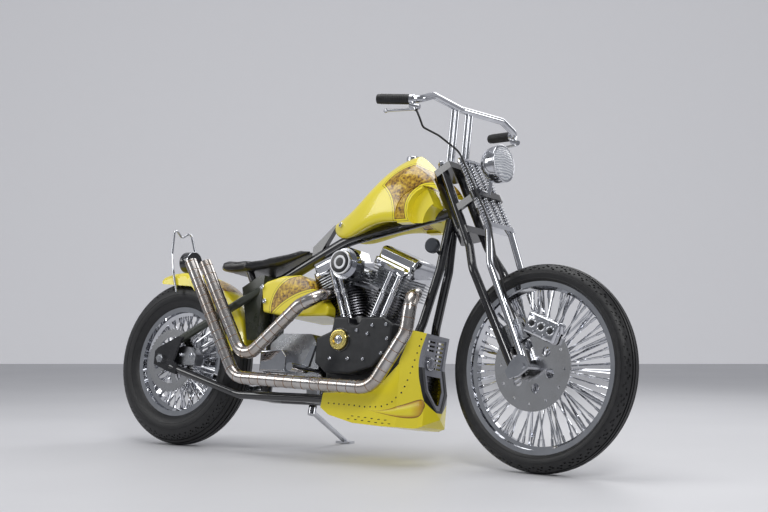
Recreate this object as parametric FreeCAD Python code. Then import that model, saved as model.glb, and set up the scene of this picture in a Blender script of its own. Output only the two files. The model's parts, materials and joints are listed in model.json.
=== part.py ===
import FreeCAD, Part
import math
import os
from FreeCAD import Placement, Rotation, Vector

# A rigid-frame chopper with a springer fork and an air-cooled V-twin, leaning on its side stand.
# Everything is first drawn upright, in millimetres: x runs forward from the rear axle, y to the
# rider's left, z up from the ground. Fork parts are drawn about the steering axis: x is ahead of
# it, z runs up along it, and the origin is its nearest point to the front axle.

# Stance
WHEELBASE = 1610.0
RAKE = 28.0
AXLE_OFFSET = 91.0
LEAN = 8.3
STEER = -6.0

# Fits
FIT = 0.05
SEAT_GAP = 0.3
DISC_GAP = 5.0

# Rear wheel
REAR_SEAT_R = 203.0
REAR_TYRE_H = 127.0
REAR_FLANGE_H = 16.0
REAR_TYRE_HALF = 65.0
REAR_CROWN_R = 72.0
REAR_TREAD_HALF = 50.0
REAR_RIM_HALF = 44.0
REAR_SPOKES = 40
REAR_SPOKE_R = 3.0
REAR_HUB_R = 30.0
REAR_HUB_HALF = 62.0

# Front wheel
FRONT_SEAT_R = 274.0
FRONT_TYRE_H = 72.0
FRONT_FLANGE_H = 14.0
FRONT_TYRE_HALF = 45.0
FRONT_CROWN_R = 50.0
FRONT_TREAD_HALF = 34.0
FRONT_RIM_HALF = 33.0
FRONT_SPOKES = 60
FRONT_SPOKE_R = 3.2
FRONT_HUB_R = 26.0
FRONT_HUB_HALF = 48.0

# Rims, spokes and axles
RIM_WALL = 4.0
RIM_LIP = 3.5
RIM_WELL = 12.0
FLANGE_EXTRA_R = 18.0
FLANGE_T = 6.0
AXLE_R = 9.5

# Brakes and final drive
FRONT_DISC_R = 146.0
FRONT_DISC_Y = -64.0
REAR_DISC_R = 127.0
REAR_DISC_Y = -86.0
DISC_T = 5.0
DISC_CLEAR = 6.0
CALIPER_TOP = 166.0
CALIPER_Y = -74.0
REAR_DISC_TEETH = 48
SPROCKET_R = 112.0
SPROCKET_Y = 78.0
SPROCKET_T = 6.0
SPROCKET_TEETH = 48
CHAIN_W = 14.0
CHAIN_H = 15.0
CHAIN_GAP = 1.5
GEARBOX_SPROCKET_R = 46.0

# Frame
TUBE_R = 16.0
NECK_R = 25.0
NECK_LOW = 585.0
NECK_HIGH = 754.0
BACKBONE_R = 22.0
KNOT_R = 26.0
POST_X = 432.0
POST_TOP_Z = 650.0
RAIL_Z = 205.0
RAIL_Y = 98.0
RAIL_FRONT_X = 1085.0
RAIL_REAR_X = 380.0
PLATE_Y = 134.0
PLATE_T = 10.0

# Engine and gearbox
CRANK_X = 892.0
CRANK_Z = 362.0
V_HALF = 22.5
CYL_BASE = 140.0
CYL_TOP = 258.0
HEAD_TOP = 336.0
HEAD_LENGTH = 176.0
HEAD_DEPTH = 168.0
ROCKER_TOP = 412.0
ROCKER_FOOT = 26.0
CYL_CORE_R = 62.0
CYL_FIN_R = 80.0
FIN_PITCH = 10.5
FIN_T = 3.4
CASE_HALF = 88.0
GEARCASE_T = 52.0
PUSHROD_LOW = 136.3
PUSHROD_Y = -102.0
PUSHROD_R = 10.0
AIR_X = 882.0
AIR_Z = 684.0
BOX_SPROCKET_X = 560.0
BOX_SPROCKET_Z = 330.0
GEARBOX_LEFT = 70.0
PRIMARY_R = 98.0
PRIMARY_T = 62.0
PIPE_R = 24.0

# Steering head and fork, about the steering axis
STEM_R = 15.0
LEG_Y = 96.0
LEG_TOP_Y = 56.0
LEG_LEAN_IN = 8.0
LEG_LEAN_AHEAD = 14.0
RIGID_X = 40.0
RIGID_R = 15.0
SPRING_LEG_R = 12.0
LEG_BEND_LOW = 400.0
LEG_BEND_HIGH = 500.0
CROWN_LOW = 540.0
CROWN_T = 30.0
CLAMP_LOW = 790.0
CLAMP_T = 26.0
SPRING_X = 142.0
SPRING_YS = (-66.0, -22.0, 22.0, 66.0)
SPRING_R = 12.0
SPRING_COILS = 8
PERCH_LOW = 630.0
PERCH_T = 26.0
LOWER_SPRING_LOW = 520.0
UPPER_SPRING_HIGH = 775.0
ROD_R = 5.0
ROCKER_T = 14.0
SWING_R = 96.0
SWING_BACK = 30.0

# Handlebar and what hangs on it, about the steering axis
BAR_R = 12.7
BAR_MIDDLE_X = 185.6
BAR_MIDDLE_Z = 991.6
BAR_END_Y = 338.0
RISER_R = 8.0
GRIP_R = 17.0
GRIP_LENGTH = 112.0
BAR_BEND = 36.0
HOSE_R = 3.5
LAMP_R = 66.0
LAMP_DEEP = 76.0
LAMP_X = 254.7
LAMP_Z = 712.6

# Tank, fender, fairing and side stand
FILLER_X = 1030.0
FILLER_Z = 1090.0
FENDER_GAP = 33.0
FENDER_HALF = 84.0
FENDER_START = 8.0
FENDER_END = 108.0
CHIN_WALL = 3.0
CHIN_HALF = 122.0
CHIN_LOW = 118.0
SLOT_PITCH = 15.0
STAND_PIVOT = Vector(575.0, 112.0, 166.0)
STAND_AXIS = Vector(-0.12, 0.257, 0.959)
STAND_FOOT_X = 520.0
STAND_FOOT_Y = 425.0
STAND_R = 10.0
STAND_FOOT_T = 10.0

REAR_TYRE_R = REAR_SEAT_R + REAR_TYRE_H
REAR_FLANGE_R = REAR_SEAT_R + REAR_FLANGE_H
FRONT_TYRE_R = FRONT_SEAT_R + FRONT_TYRE_H
FRONT_FLANGE_R = FRONT_SEAT_R + FRONT_FLANGE_H
FENDER_R = REAR_TYRE_R + FENDER_GAP
FENDER_TOP = REAR_TYRE_R + FENDER_R

RAKE_SIN = math.sin(math.radians(RAKE))
RAKE_COS = math.cos(math.radians(RAKE))
AXIS_Y = Vector(0, 1, 0)
AXIS_Z = Vector(0, 0, 1)
REAR_AXLE = Vector(0, 0, REAR_TYRE_R)
WHEEL_LOCAL = Vector(AXLE_OFFSET, 0, 0)
FORK_FOOT = Vector(
    WHEELBASE - AXLE_OFFSET * RAKE_COS, 0, FRONT_TYRE_R - AXLE_OFFSET * RAKE_SIN
)
FORK_STRAIGHT = Placement(FORK_FOOT, Rotation(AXIS_Y, -RAKE))


def fork_to_bike(x, y, z):
    """A point given about the steering axis, in the upright frame with the wheel ahead."""
    return FORK_STRAIGHT.multVec(Vector(x, y, z))


def rod(start, end, radius):
    """A round bar between two points."""
    along = end - start
    return Part.makeCylinder(radius, along.Length, start, along)


def grown_rod(start, end, radius):
    """A round bar with the seating gap all round, for clearing what meets it."""
    along = end - start
    along.normalize()
    return rod(start - along * SEAT_GAP, end + along * SEAT_GAP, radius + SEAT_GAP)


def prism_bar(start, end, radius, sides):
    """A bar with a regular polygon for its section."""
    along = end - start
    turn = Rotation(AXIS_Z, along)
    ring = []
    for i in range(sides + 1):
        angle = 2 * math.pi * i / sides
        ring.append(start + turn.multVec(Vector(radius * math.cos(angle), radius * math.sin(angle), 0)))
    return Part.Face(Part.makePolygon(ring)).extrude(along)


def bent_path(points, bend):
    """A wire of straight runs with tangent arcs at its corners."""
    edges = []
    start = points[0]
    for i in range(1, len(points) - 1):
        corner = points[i]
        back = points[i - 1] - corner
        ahead = points[i + 1] - corner
        turn = math.pi - back.getAngle(ahead)
        cut = bend * math.tan(turn / 2)
        limit = 0.48 * min(back.Length, ahead.Length)
        cut = min(cut, limit)
        back.normalize()
        ahead.normalize()
        first = corner + back * cut
        last = corner + ahead * cut
        middle = back + ahead
        middle.normalize()
        radius = cut / math.tan(turn / 2)
        centre = corner + middle * (radius / math.cos(turn / 2))
        edges.append(Part.LineSegment(start, first).toShape())
        edges.append(Part.Arc(first, centre - middle * radius, last).toShape())
        start = last
    edges.append(Part.LineSegment(start, points[-1]).toShape())
    return Part.Wire(edges)


def tube(points, radius, bend):
    """A solid round tube along a bent path."""
    path = bent_path(points, bend)
    along = points[1] - points[0]
    section = Part.Wire([Part.makeCircle(radius, points[0], along)])
    return path.makePipeShell([section], True, False)


def flat(points, low, high):
    """A plate with its outline in x and z, between two values of y."""
    ring = [Vector(x, low, z) for x, z in points]
    ring.append(ring[0])
    return Part.Face(Part.makePolygon(ring)).extrude(Vector(0, high - low, 0))


def plan(points, low, high):
    """A plate with its outline in x and y, mirrored about the middle, between two heights."""
    ring = [Vector(x, y, low) for x, y in points]
    ring += [Vector(x, -y, low) for x, y in reversed(points)]
    ring.append(ring[0])
    return Part.Face(Part.makePolygon(ring)).extrude(Vector(0, 0, high - low))


def disc(centre, radius, low, high):
    """A round plate or bar lying across the bike, between two values of y."""
    base = Vector(centre.x, low, centre.z)
    return Part.makeCylinder(radius, high - low, base, AXIS_Y)


def turned(points, centre):
    """A body turned about the axle line: points are distance from it and place along it."""
    ring = [Vector(centre.x + r, y, centre.z) for r, y in points]
    ring.append(ring[0])
    face = Part.Face(Part.makePolygon(ring))
    return face.revolve(Vector(centre.x, 0, centre.z), AXIS_Y, 360)


def rounded(shape, edges, radius):
    """The shape with the chosen edges rounded."""
    return shape.makeFillet(radius, [e for e in shape.Edges if edges(e)])


def upright(edge):
    """Whether an edge runs along z."""
    return abs(edge.tangentAt(edge.FirstParameter).z) > 0.9


def crosswise(edge):
    """Whether an edge runs along y."""
    return abs(edge.tangentAt(edge.FirstParameter).y) > 0.9


def largest(shape):
    """The biggest solid of a shape."""
    return max(shape.Solids, key=lambda piece: piece.Volume)


def crown_drop(crown_r, tread_half):
    """How far a tread's edge lies below its middle."""
    return crown_r - math.sqrt(crown_r**2 - tread_half**2)


def tyre(centre, radius, half, crown_r, tread_half, seat_r, flange_r, rim_half):
    """A tyre that fills the rim, with broad facets across its side walls and its tread."""
    bead = rim_half - RIM_LIP - SEAT_GAP
    seat = seat_r + SEAT_GAP
    wall_foot = flange_r + 1.0
    shoulder = radius - crown_drop(crown_r, tread_half)
    widest = (wall_foot + shoulder) / 2
    parked = crown_r * math.sin(math.radians(LEAN))
    side = [
        (seat, bead),
        (wall_foot, bead),
        (widest, half),
        (shoulder, tread_half),
        (radius - crown_drop(crown_r, parked), parked),
    ]
    return turned(side + [(r, -y) for r, y in reversed(side)], centre)


def rim(centre, seat_r, flange_r, rim_half):
    """A drop-centre rim."""
    bead = rim_half - RIM_LIP
    well = seat_r - RIM_WELL
    half = [
        (flange_r, rim_half),
        (flange_r, bead),
        (seat_r, bead),
        (seat_r, 0.45 * bead),
        (well, 0.3 * bead),
    ]
    inner = [
        (well - RIM_WALL, 0.3 * bead),
        (seat_r - RIM_WALL, 0.55 * bead),
        (seat_r - RIM_WALL, rim_half),
    ]
    outline = half + [(r, -y) for r, y in reversed(half)]
    outline += [(r, -y) for r, y in reversed(inner)] + inner
    return turned(outline, centre)


def hub(centre, hub_r, hub_half, seat_r, spokes, spoke_r):
    """A hub with two spoke flanges and its spokes, which end on the rim's well."""
    well = seat_r - RIM_WELL - RIM_WALL
    flange_r = hub_r + FLANGE_EXTRA_R
    body = turned(
        [
            (AXLE_R + FIT, -hub_half),
            (hub_r - 6, -hub_half),
            (hub_r - 6, -hub_half + 8),
            (flange_r, -hub_half + 8),
            (flange_r, -hub_half + 8 + FLANGE_T),
            (hub_r - 4, -hub_half + 22),
            (hub_r - 4, hub_half - 22),
            (flange_r, hub_half - 8 - FLANGE_T),
            (flange_r, hub_half - 8),
            (hub_r - 6, hub_half - 8),
            (hub_r - 6, hub_half),
            (AXLE_R + FIT, hub_half),
        ],
        centre,
    )
    bars = []
    pair_turn = math.radians(360.0 / spokes)
    for i in range(spokes):
        side = 1 if i % 2 else -1
        couple = i // 2
        base = 2 * math.pi * couple / (spokes // 2)
        lean = pair_turn * (1.2 if couple % 2 else -1.2)
        foot = Vector(
            centre.x + (flange_r - 5) * math.cos(base),
            side * (hub_half - 8 - FLANGE_T / 2),
            centre.z + (flange_r - 5) * math.sin(base),
        )
        head_r = well + 6
        tip = Vector(
            centre.x + head_r * math.cos(base + lean), side * 5.0, centre.z + head_r * math.sin(base + lean)
        )
        bars.append(prism_bar(foot, tip, spoke_r, 5))
    inside = disc(centre, well - SEAT_GAP, -hub_half, hub_half)
    bars = [bar.common(inside) for bar in bars]
    return body.multiFuse(bars)


def toothed_ring(centre, radius, depth, teeth, hole_r, low, high, share):
    """A flat ring with teeth round its edge."""
    ring = []
    for i in range(teeth):
        start = 2 * math.pi * i / teeth
        step = 2 * math.pi / teeth
        for part, r in ((0.0, radius - depth), (0.75 - share, radius), (0.75 + share, radius)):
            angle = start + step * part
            ring.append((centre.x + r * math.cos(angle), centre.z + r * math.sin(angle)))
    plate = flat(ring, low, high)
    return plate.cut(disc(centre, hole_r, low - 1, high + 1))


def rear_disc():
    """The toothed rear brake disc on the right, on a carrier that meets the hub."""
    low = REAR_DISC_Y - DISC_T / 2
    high = REAR_DISC_Y + DISC_T / 2
    ring = toothed_ring(REAR_AXLE, REAR_DISC_R, 7.0, REAR_DISC_TEETH, 92.0, low, high, 0.12)
    arms = [disc(REAR_AXLE, 40.0, low, -REAR_HUB_HALF)]
    for i in range(5):
        arm = Part.makeBox(60, high - low, 22, Vector(36, low, REAR_TYRE_R - 11))
        arm.rotate(REAR_AXLE, AXIS_Y, 72.0 * i)
        arms.append(arm)
    return ring.multiFuse(arms).cut(disc(REAR_AXLE, AXLE_R + FIT, low - 1, 0))


def rear_sprocket():
    """The final-drive sprocket on the left, with its boss on the hub."""
    low = SPROCKET_Y - SPROCKET_T / 2
    high = SPROCKET_Y + SPROCKET_T / 2
    ring = toothed_ring(REAR_AXLE, SPROCKET_R, 8.0, SPROCKET_TEETH, AXLE_R + FIT, low, high, 0.1)
    boss = disc(REAR_AXLE, 44.0, REAR_HUB_HALF, low)
    holes = [disc(REAR_AXLE, AXLE_R + FIT, 0, high + 1)]
    for i in range(5):
        angle = math.radians(72 * i)
        spot = REAR_AXLE + Vector(72 * math.cos(angle), 0, 72 * math.sin(angle))
        holes.append(disc(spot, 17.0, low - 1, high + 1))
    return ring.fuse(boss).cut(Part.makeCompound(holes))


def front_disc():
    """The polished front brake disc, with round holes and its boss on the hub."""
    low = FRONT_DISC_Y - DISC_T / 2
    high = FRONT_DISC_Y + DISC_T / 2
    plate = disc(WHEEL_LOCAL, FRONT_DISC_R, low, high)
    boss = disc(WHEEL_LOCAL, 40.0, high, -FRONT_HUB_HALF)
    cuts = [disc(WHEEL_LOCAL, AXLE_R + FIT, low - 1, 0)]
    for i in range(6):
        angle = math.radians(60 * i + 15)
        spot = WHEEL_LOCAL + Vector(72 * math.cos(angle), 0, 72 * math.sin(angle))
        cuts.append(disc(spot, 16.0, low - 1, high + 1))
    for i in range(12):
        angle = math.radians(30 * i)
        spot = WHEEL_LOCAL + Vector(122 * math.cos(angle), 0, 122 * math.sin(angle))
        cuts.append(disc(spot, 5.0, low - 1, high + 1))
    return plate.fuse(boss).cut(Part.makeCompound(cuts))


def neck_axis():
    """The ends of the steering head's tube."""
    return fork_to_bike(0, 0, NECK_LOW), fork_to_bike(0, 0, NECK_HIGH)


def spine_path():
    """The backbone's line from the steering head to the seat post."""
    low, high = neck_axis()
    return [(low + high) * 0.5, Vector(760, 0, 806), Vector(POST_X + 16, 0, POST_TOP_Z)]


def seat_post(gap):
    """The tube under the saddle, grown by a gap."""
    return rod(Vector(POST_X, 0, RAIL_Z), spine_path()[-1], BACKBONE_R + gap)


def frame_backbone():
    """Steering head, backbone and seat post."""
    low, high = neck_axis()
    neck = rod(low, high, NECK_R)
    spine = tube(spine_path(), BACKBONE_R, 300)
    knot = Part.makeSphere(KNOT_R, spine_path()[-1])
    bore = rod(fork_to_bike(0, 0, NECK_LOW - 5), fork_to_bike(0, 0, NECK_HIGH + 5), STEM_R + FIT)
    cross = grown_rod(Vector(POST_X, -RAIL_Y, RAIL_Z), Vector(POST_X, RAIL_Y, RAIL_Z), TUBE_R)
    return largest(neck.multiFuse([spine, seat_post(0), knot]).cut(bore).cut(cross))


def frame_downtubes():
    """The pair of front tubes from the steering head to the lower rails."""
    low, high = neck_axis()
    tubes = []
    for side in (-1, 1):
        half = Part.makeBox(600, 200, 900, Vector(900, SEAT_GAP if side > 0 else -200 - SEAT_GAP, 100))
        spine = tube(spine_path(), BACKBONE_R + SEAT_GAP, 300)
        pipe = downtube(side, 0).common(half).cut(grown_rod(low, high, NECK_R)).cut(spine)
        tubes.append(largest(pipe))
    return tubes


def downtube(side, gap):
    """One front tube's full run, grown by a gap."""
    low = neck_axis()[0]
    path = [
        Vector(low.x - 43, side * 14, low.z + 42),
        Vector(low.x - 61, side * 30, low.z - 139),
        Vector(RAIL_FRONT_X + 64, side * 46, RAIL_Z + 280),
        Vector(RAIL_FRONT_X + 18, side * RAIL_Y, RAIL_Z + 90),
        Vector(RAIL_FRONT_X - 8, side * RAIL_Y, RAIL_Z),
        Vector(RAIL_FRONT_X - 60, side * RAIL_Y, RAIL_Z),
    ]
    return tube(path, TUBE_R + gap, 90)


def horn():
    """The small round horn beside the right front tube."""
    low = neck_axis()[0]
    centre = Vector(low.x - 68, 0, low.z - 62)
    shell = disc(centre, 27, -92, -72)
    shell = rounded(shell, lambda e: e.BoundBox.YMax < -91, 6)
    stem = rod(Vector(centre.x, -73, centre.z), Vector(centre.x + 6, -20, centre.z - 30), 6)
    return largest(shell.fuse(stem).cut(downtube(-1, SEAT_GAP)))


def axle_plates(gap):
    """The slotted plates that hold the rear axle, grown sideways by a gap."""
    outline = [
        (-44, REAR_TYRE_R - 22),
        (-44, REAR_TYRE_R + 30),
        (-28, REAR_TYRE_R + 44),
        (70, REAR_TYRE_R + 88),
        (96, REAR_TYRE_R + 88),
        (70, REAR_TYRE_R + 30),
        (60, REAR_TYRE_R - 4),
        (80, REAR_TYRE_R - 30),
        (80, REAR_TYRE_R - 60),
        (30, REAR_TYRE_R - 48),
    ]
    plates = []
    for side in (-1, 1):
        low = side * PLATE_Y - PLATE_T / 2
        plates.append(flat(outline, low - gap, low + PLATE_T + gap))
    return plates


def frame_rails():
    """Lower rails, cross tubes, lower stays and the axle plates."""
    tubes = []
    for side in (-1, 1):
        path = [
            Vector(RAIL_FRONT_X - 60 - SEAT_GAP, side * RAIL_Y, RAIL_Z),
            Vector(RAIL_REAR_X, side * RAIL_Y, RAIL_Z),
            Vector(40, side * (PLATE_Y - 9), REAR_TYRE_R - 30),
        ]
        tubes.append(tube(path, TUBE_R, 160))
    cross = [
        rod(Vector(x, -RAIL_Y, RAIL_Z), Vector(x, RAIL_Y, RAIL_Z), TUBE_R)
        for x in (POST_X, 700.0, RAIL_FRONT_X - 120)
    ]
    bore = disc(REAR_AXLE, AXLE_R + FIT, -PLATE_Y - PLATE_T, PLATE_Y + PLATE_T)
    return tubes[0].multiFuse(tubes[1:] + axle_plates(0) + cross).cut(bore)


def gusset(gap):
    """The plate ahead of the fender, grown by a gap at its rear and top edges."""
    outline = [
        (326 - gap, 620 + gap),
        (POST_X - 22 - gap, 666 + gap),
        (POST_X + 2, 666 + gap),
        (POST_X - 8, 416),
        (POST_X - 56 - gap, 416),
    ]
    return flat(outline, -78, 78)


def frame_stays():
    """Upper rear stays and the gusset plate ahead of the fender."""
    pieces = []
    stay_y = PLATE_Y - PLATE_T / 2 - TUBE_R - SEAT_GAP
    for side in (-1, 1):
        path = [
            Vector(POST_X - 20, side * 62, 612),
            Vector(345, side * stay_y, 552),
            Vector(-24, side * stay_y, REAR_TYRE_R + 36),
        ]
        pieces.append(tube(path, TUBE_R, 80))
    body = gusset(0).multiFuse(pieces)
    knot = Part.makeSphere(KNOT_R + SEAT_GAP, spine_path()[-1])
    spine = tube(spine_path(), BACKBONE_R + SEAT_GAP, 300)
    return body.cut(Part.makeCompound([seat_post(SEAT_GAP)])).cut(knot).cut(spine)


def along_cylinder(shape, side):
    """Places a shape drawn up the z axis on the front (1) or rear (-1) cylinder."""
    shape = shape.copy()
    shape.Placement = Placement(Vector(CRANK_X, 0, CRANK_Z), Rotation(AXIS_Y, side * V_HALF)).multiply(
        shape.Placement
    )
    return shape


def pair(shape):
    """The shape on both cylinders, each kept to its own side of the V."""
    pieces = []
    for side in (1, -1):
        start = CRANK_X + (0.5 if side > 0 else -400.5)
        half = Part.makeBox(400, 400, 600, Vector(start, -200, CRANK_Z))
        pieces.append(along_cylinder(shape, side).common(half))
    return pieces


def cylinder():
    """One finned cylinder, up the z axis."""
    low = CYL_BASE + SEAT_GAP
    core = Part.makeCylinder(CYL_CORE_R, CYL_TOP - SEAT_GAP - low, Vector(0, 0, low))
    fins = []
    z = CYL_BASE + 10
    while z < CYL_TOP - FIN_T - 2:
        fins.append(Part.makeCylinder(CYL_FIN_R, FIN_T, Vector(0, 0, z)))
        z += FIN_PITCH
    return core.multiFuse(fins)


def head():
    """One finned head, up the z axis."""
    core = Part.makeBox(130, 130, HEAD_TOP - SEAT_GAP - CYL_TOP, Vector(-65, -65, CYL_TOP))
    fins = []
    z = CYL_TOP + 6
    while z < HEAD_TOP - FIN_T - 2:
        fin = Part.makeBox(HEAD_LENGTH, HEAD_DEPTH, FIN_T, Vector(-HEAD_LENGTH / 2, -HEAD_DEPTH / 2, z))
        fins.append(rounded(fin, upright, 26))
        z += FIN_PITCH
    return core.multiFuse(fins)


def head_envelope():
    """The room that a head and the upper cylinder take, up the z axis."""
    wide = HEAD_LENGTH + 2 * SEAT_GAP
    deep = HEAD_DEPTH + 2 * SEAT_GAP
    low = CYL_TOP - 60
    return Part.makeBox(wide, deep, HEAD_TOP + 20 - low, Vector(-wide / 2, -deep / 2, low))


def rocker_box():
    """One rocker box, up the z axis, with a stepped foot and a ledge over the pushrods."""
    foot = Part.makeBox(180, 172, ROCKER_FOOT, Vector(-90, -86, HEAD_TOP))
    foot = rounded(foot, upright, 20)
    ledge = Part.makeBox(84, 40, ROCKER_FOOT - 8, Vector(-8, PUSHROD_Y - PUSHROD_R - 4, HEAD_TOP))
    top_z = HEAD_TOP + ROCKER_FOOT
    top = Part.makeBox(168, 160, ROCKER_TOP - top_z, Vector(-84, -80, top_z))
    top = rounded(top, upright, 20)
    top = rounded(top, lambda e: e.BoundBox.ZMin > top_z + 1, 16)
    return foot.multiFuse([ledge, top])


def crankcase():
    """The engine's case, with the two cylinder bases."""
    body = disc(Vector(CRANK_X, 0, CRANK_Z), 122, -CASE_HALF, CASE_HALF)
    outline = [
        (CRANK_X - 130, CRANK_Z - 20),
        (CRANK_X - 116, RAIL_Z + 34),
        (CRANK_X + 90, RAIL_Z + 34),
        (CRANK_X + 150, CRANK_Z + 30),
        (CRANK_X, CRANK_Z + 60),
    ]
    sump = flat(outline, -CASE_HALF + 12, CASE_HALF - 12)
    base = Part.makeCylinder(74, CYL_BASE - 60, Vector(0, 0, 60))
    foot_x = RAIL_FRONT_X - 120
    top = RAIL_Z + TUBE_R + SEAT_GAP
    outline = [(foot_x - 28, top), (foot_x + 28, top), (foot_x + 34, top + 60), (foot_x - 34, top + 60)]
    foot = flat(outline, -60, 60)
    return body.multiFuse([sump, foot] + pair(base))


def gearcase_cover():
    """The cover on the right of the crankcase, with the lifter blocks along its top."""
    outline = [
        (CRANK_X - 136, CRANK_Z + 58),
        (CRANK_X - 134, CRANK_Z - 32),
        (CRANK_X - 84, CRANK_Z - 66),
        (CRANK_X + 26, CRANK_Z - 68),
        (CRANK_X + 118, CRANK_Z - 42),
        (CRANK_X + 186, CRANK_Z + 28),
        (CRANK_X + 196, CRANK_Z + 112),
        (CRANK_X + 150, CRANK_Z + 136),
        (CRANK_X + 58, CRANK_Z + 136),
        (CRANK_X + 48, CRANK_Z + 108),
        (CRANK_X + 8, CRANK_Z + 108),
        (CRANK_X + 2, CRANK_Z + 136),
        (CRANK_X - 62, CRANK_Z + 136),
        (CRANK_X - 70, CRANK_Z + 84),
    ]
    high = -CASE_HALF - SEAT_GAP
    low = -CASE_HALF - GEARCASE_T
    plate = rounded(flat(outline, low, high), crosswise, 12)
    return rounded(plate, lambda e: e.BoundBox.YMax < low + 1, 8)


def timing_cap():
    """The round brass cap on the gearcase cover."""
    centre = Vector(CRANK_X - 28, 0, CRANK_Z + 52)
    high = -CASE_HALF - GEARCASE_T - SEAT_GAP
    cap = disc(centre, 37, high - 14, high)
    cap = rounded(cap, lambda e: e.BoundBox.YMax < high - 13, 5)
    return cap.cut(disc(centre, 22, high - 15, high - 9))


def pushrod_tubes():
    """Four covers from the lifter blocks up the right of the cylinders to the rocker boxes."""
    tubes = []
    for side, foot_x in ((1, 78), (1, 121), (-1, -46), (-1, -16)):
        tilt = math.radians(side * V_HALF)
        along = Vector(math.sin(tilt), 0, math.cos(tilt))
        foot = Vector(foot_x, PUSHROD_Y, PUSHROD_LOW)
        top = foot + along * (HEAD_TOP - SEAT_GAP - foot.dot(along))
        crank = Vector(CRANK_X, 0, CRANK_Z)
        level = Part.makeBox(400, 400, 400, crank + Vector(-200, -200, PUSHROD_LOW))
        tubes.append(rod(crank + foot - along * 20, crank + top, PUSHROD_R).common(level))
    return tubes


def air_cleaner():
    """The round air cleaner over its chrome backing."""
    centre = Vector(AIR_X, 0, AIR_Z)
    face = disc(centre, 45, -205, -176)
    face = rounded(face, lambda e: e.BoundBox.YMax < -204, 8)
    back = disc(centre, 56, -176, -150)
    return face.fuse(back)


def carburettor():
    """The carburettor and its manifold in the V."""
    body = Part.makeBox(56, 56, 72, Vector(AIR_X - 26, -150 + SEAT_GAP, AIR_Z - 48))
    height = CRANK_Z + 302
    throat = disc(Vector(CRANK_X, 0, height), 20, -95, -20)
    manifold = rod(Vector(CRANK_X - 90, -50, height), Vector(CRANK_X + 90, -50, height), 16)
    for side in (1, -1):
        manifold = manifold.cut(along_cylinder(head_envelope(), side))
    return body.multiFuse([throat, manifold])


def gearbox():
    """The separate gearbox behind the engine, with its output sprocket on the left."""
    outline = [
        (520, 262),
        (508, 400),
        (560, 440),
        (700, 440),
        (742, 380),
        (742, 262),
    ]
    box = rounded(flat(outline, -92, GEARBOX_LEFT), crosswise, 14)
    spot = Vector(BOX_SPROCKET_X, 0, BOX_SPROCKET_Z)
    half = SPROCKET_T / 2
    shaft = disc(spot, 16, GEARBOX_LEFT - 1, SPROCKET_Y)
    wheel = disc(spot, GEARBOX_SPROCKET_R, SPROCKET_Y - half, SPROCKET_Y + half)
    top = RAIL_Z + TUBE_R + SEAT_GAP
    foot = flat([(674, top), (726, top), (732, top + 60), (668, top + 60)], -60, 60)
    return box.multiFuse([shaft, wheel, foot])


def gearbox_cover():
    """The polished cover on the gearbox's right end."""
    outline = [(500, 292), (500, 372), (600, 376), (622, 350), (622, 292)]
    box = flat(outline, -140, -92 - SEAT_GAP)
    return rounded(box, lambda e: e.BoundBox.YMax < -139, 8)


def primary_cover():
    """The long primary case on the left."""
    start = CASE_HALF + SEAT_GAP
    low = Vector(618, start, 330)
    front = Vector(CRANK_X + 10, start, CRANK_Z)
    along = front - low
    along.normalize()
    up = Vector(-along.z, 0, along.x) * PRIMARY_R
    along = along * PRIMARY_R
    edges = [
        Part.LineSegment(low + up, front + up),
        Part.Arc(front + up, front + along, front - up),
        Part.LineSegment(front - up, low - up),
        Part.Arc(low - up, low - along, low + up),
    ]
    face = Part.Face(Part.Wire([e.toShape() for e in edges]))
    case = face.extrude(Vector(0, PRIMARY_T, 0))
    return rounded(case, lambda e: e.BoundBox.YMin > start + PRIMARY_T - 1, 12)


def rear_pipe(gap):
    """The rear cylinder's pipe, grown by a gap."""
    path = [
        Vector(764, -60, 598),
        Vector(766, -168, 566),
        Vector(700, -184, 533),
        Vector(462, -184, 326),
        Vector(222, -190, 700),
    ]
    return tube(path, PIPE_R + gap, 60)


def exhaust_pipes():
    """Both pipes, up-swept behind the engine."""
    path = [
        Vector(1060, 0, 571),
        Vector(1142, -90, 588),
        Vector(1178, -176, 560),
        Vector(1172, -182, 440),
        Vector(1046, -184, 244),
        Vector(426, -184, 264),
        Vector(146, -190, 706),
    ]
    rear = rear_pipe(0).cut(along_cylinder(head_envelope(), -1))
    front = tube(path, PIPE_R, 80).cut(along_cylinder(head_envelope(), 1))
    return [largest(rear), largest(front)]


def tank_section(x, low, high, half):
    """A closed cross-section of the tank, drawn through eleven points."""
    height = high - low
    points = [
        Vector(x, 0, high),
        Vector(x, 0.5 * half, high - 0.1 * height),
        Vector(x, 0.9 * half, low + 0.66 * height),
        Vector(x, half, low + 0.38 * height),
        Vector(x, 0.9 * half, low + 0.02 * height),
        Vector(x, 0.45 * half, low + 0.08 * height),
    ]
    mirrored = [Vector(p.x, -p.y, p.z) for p in reversed(points[1:])]
    curve = Part.BSplineCurve()
    curve.interpolate(points + mirrored, PeriodicFlag=True)
    return Part.Wire([curve.toShape()])


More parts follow.
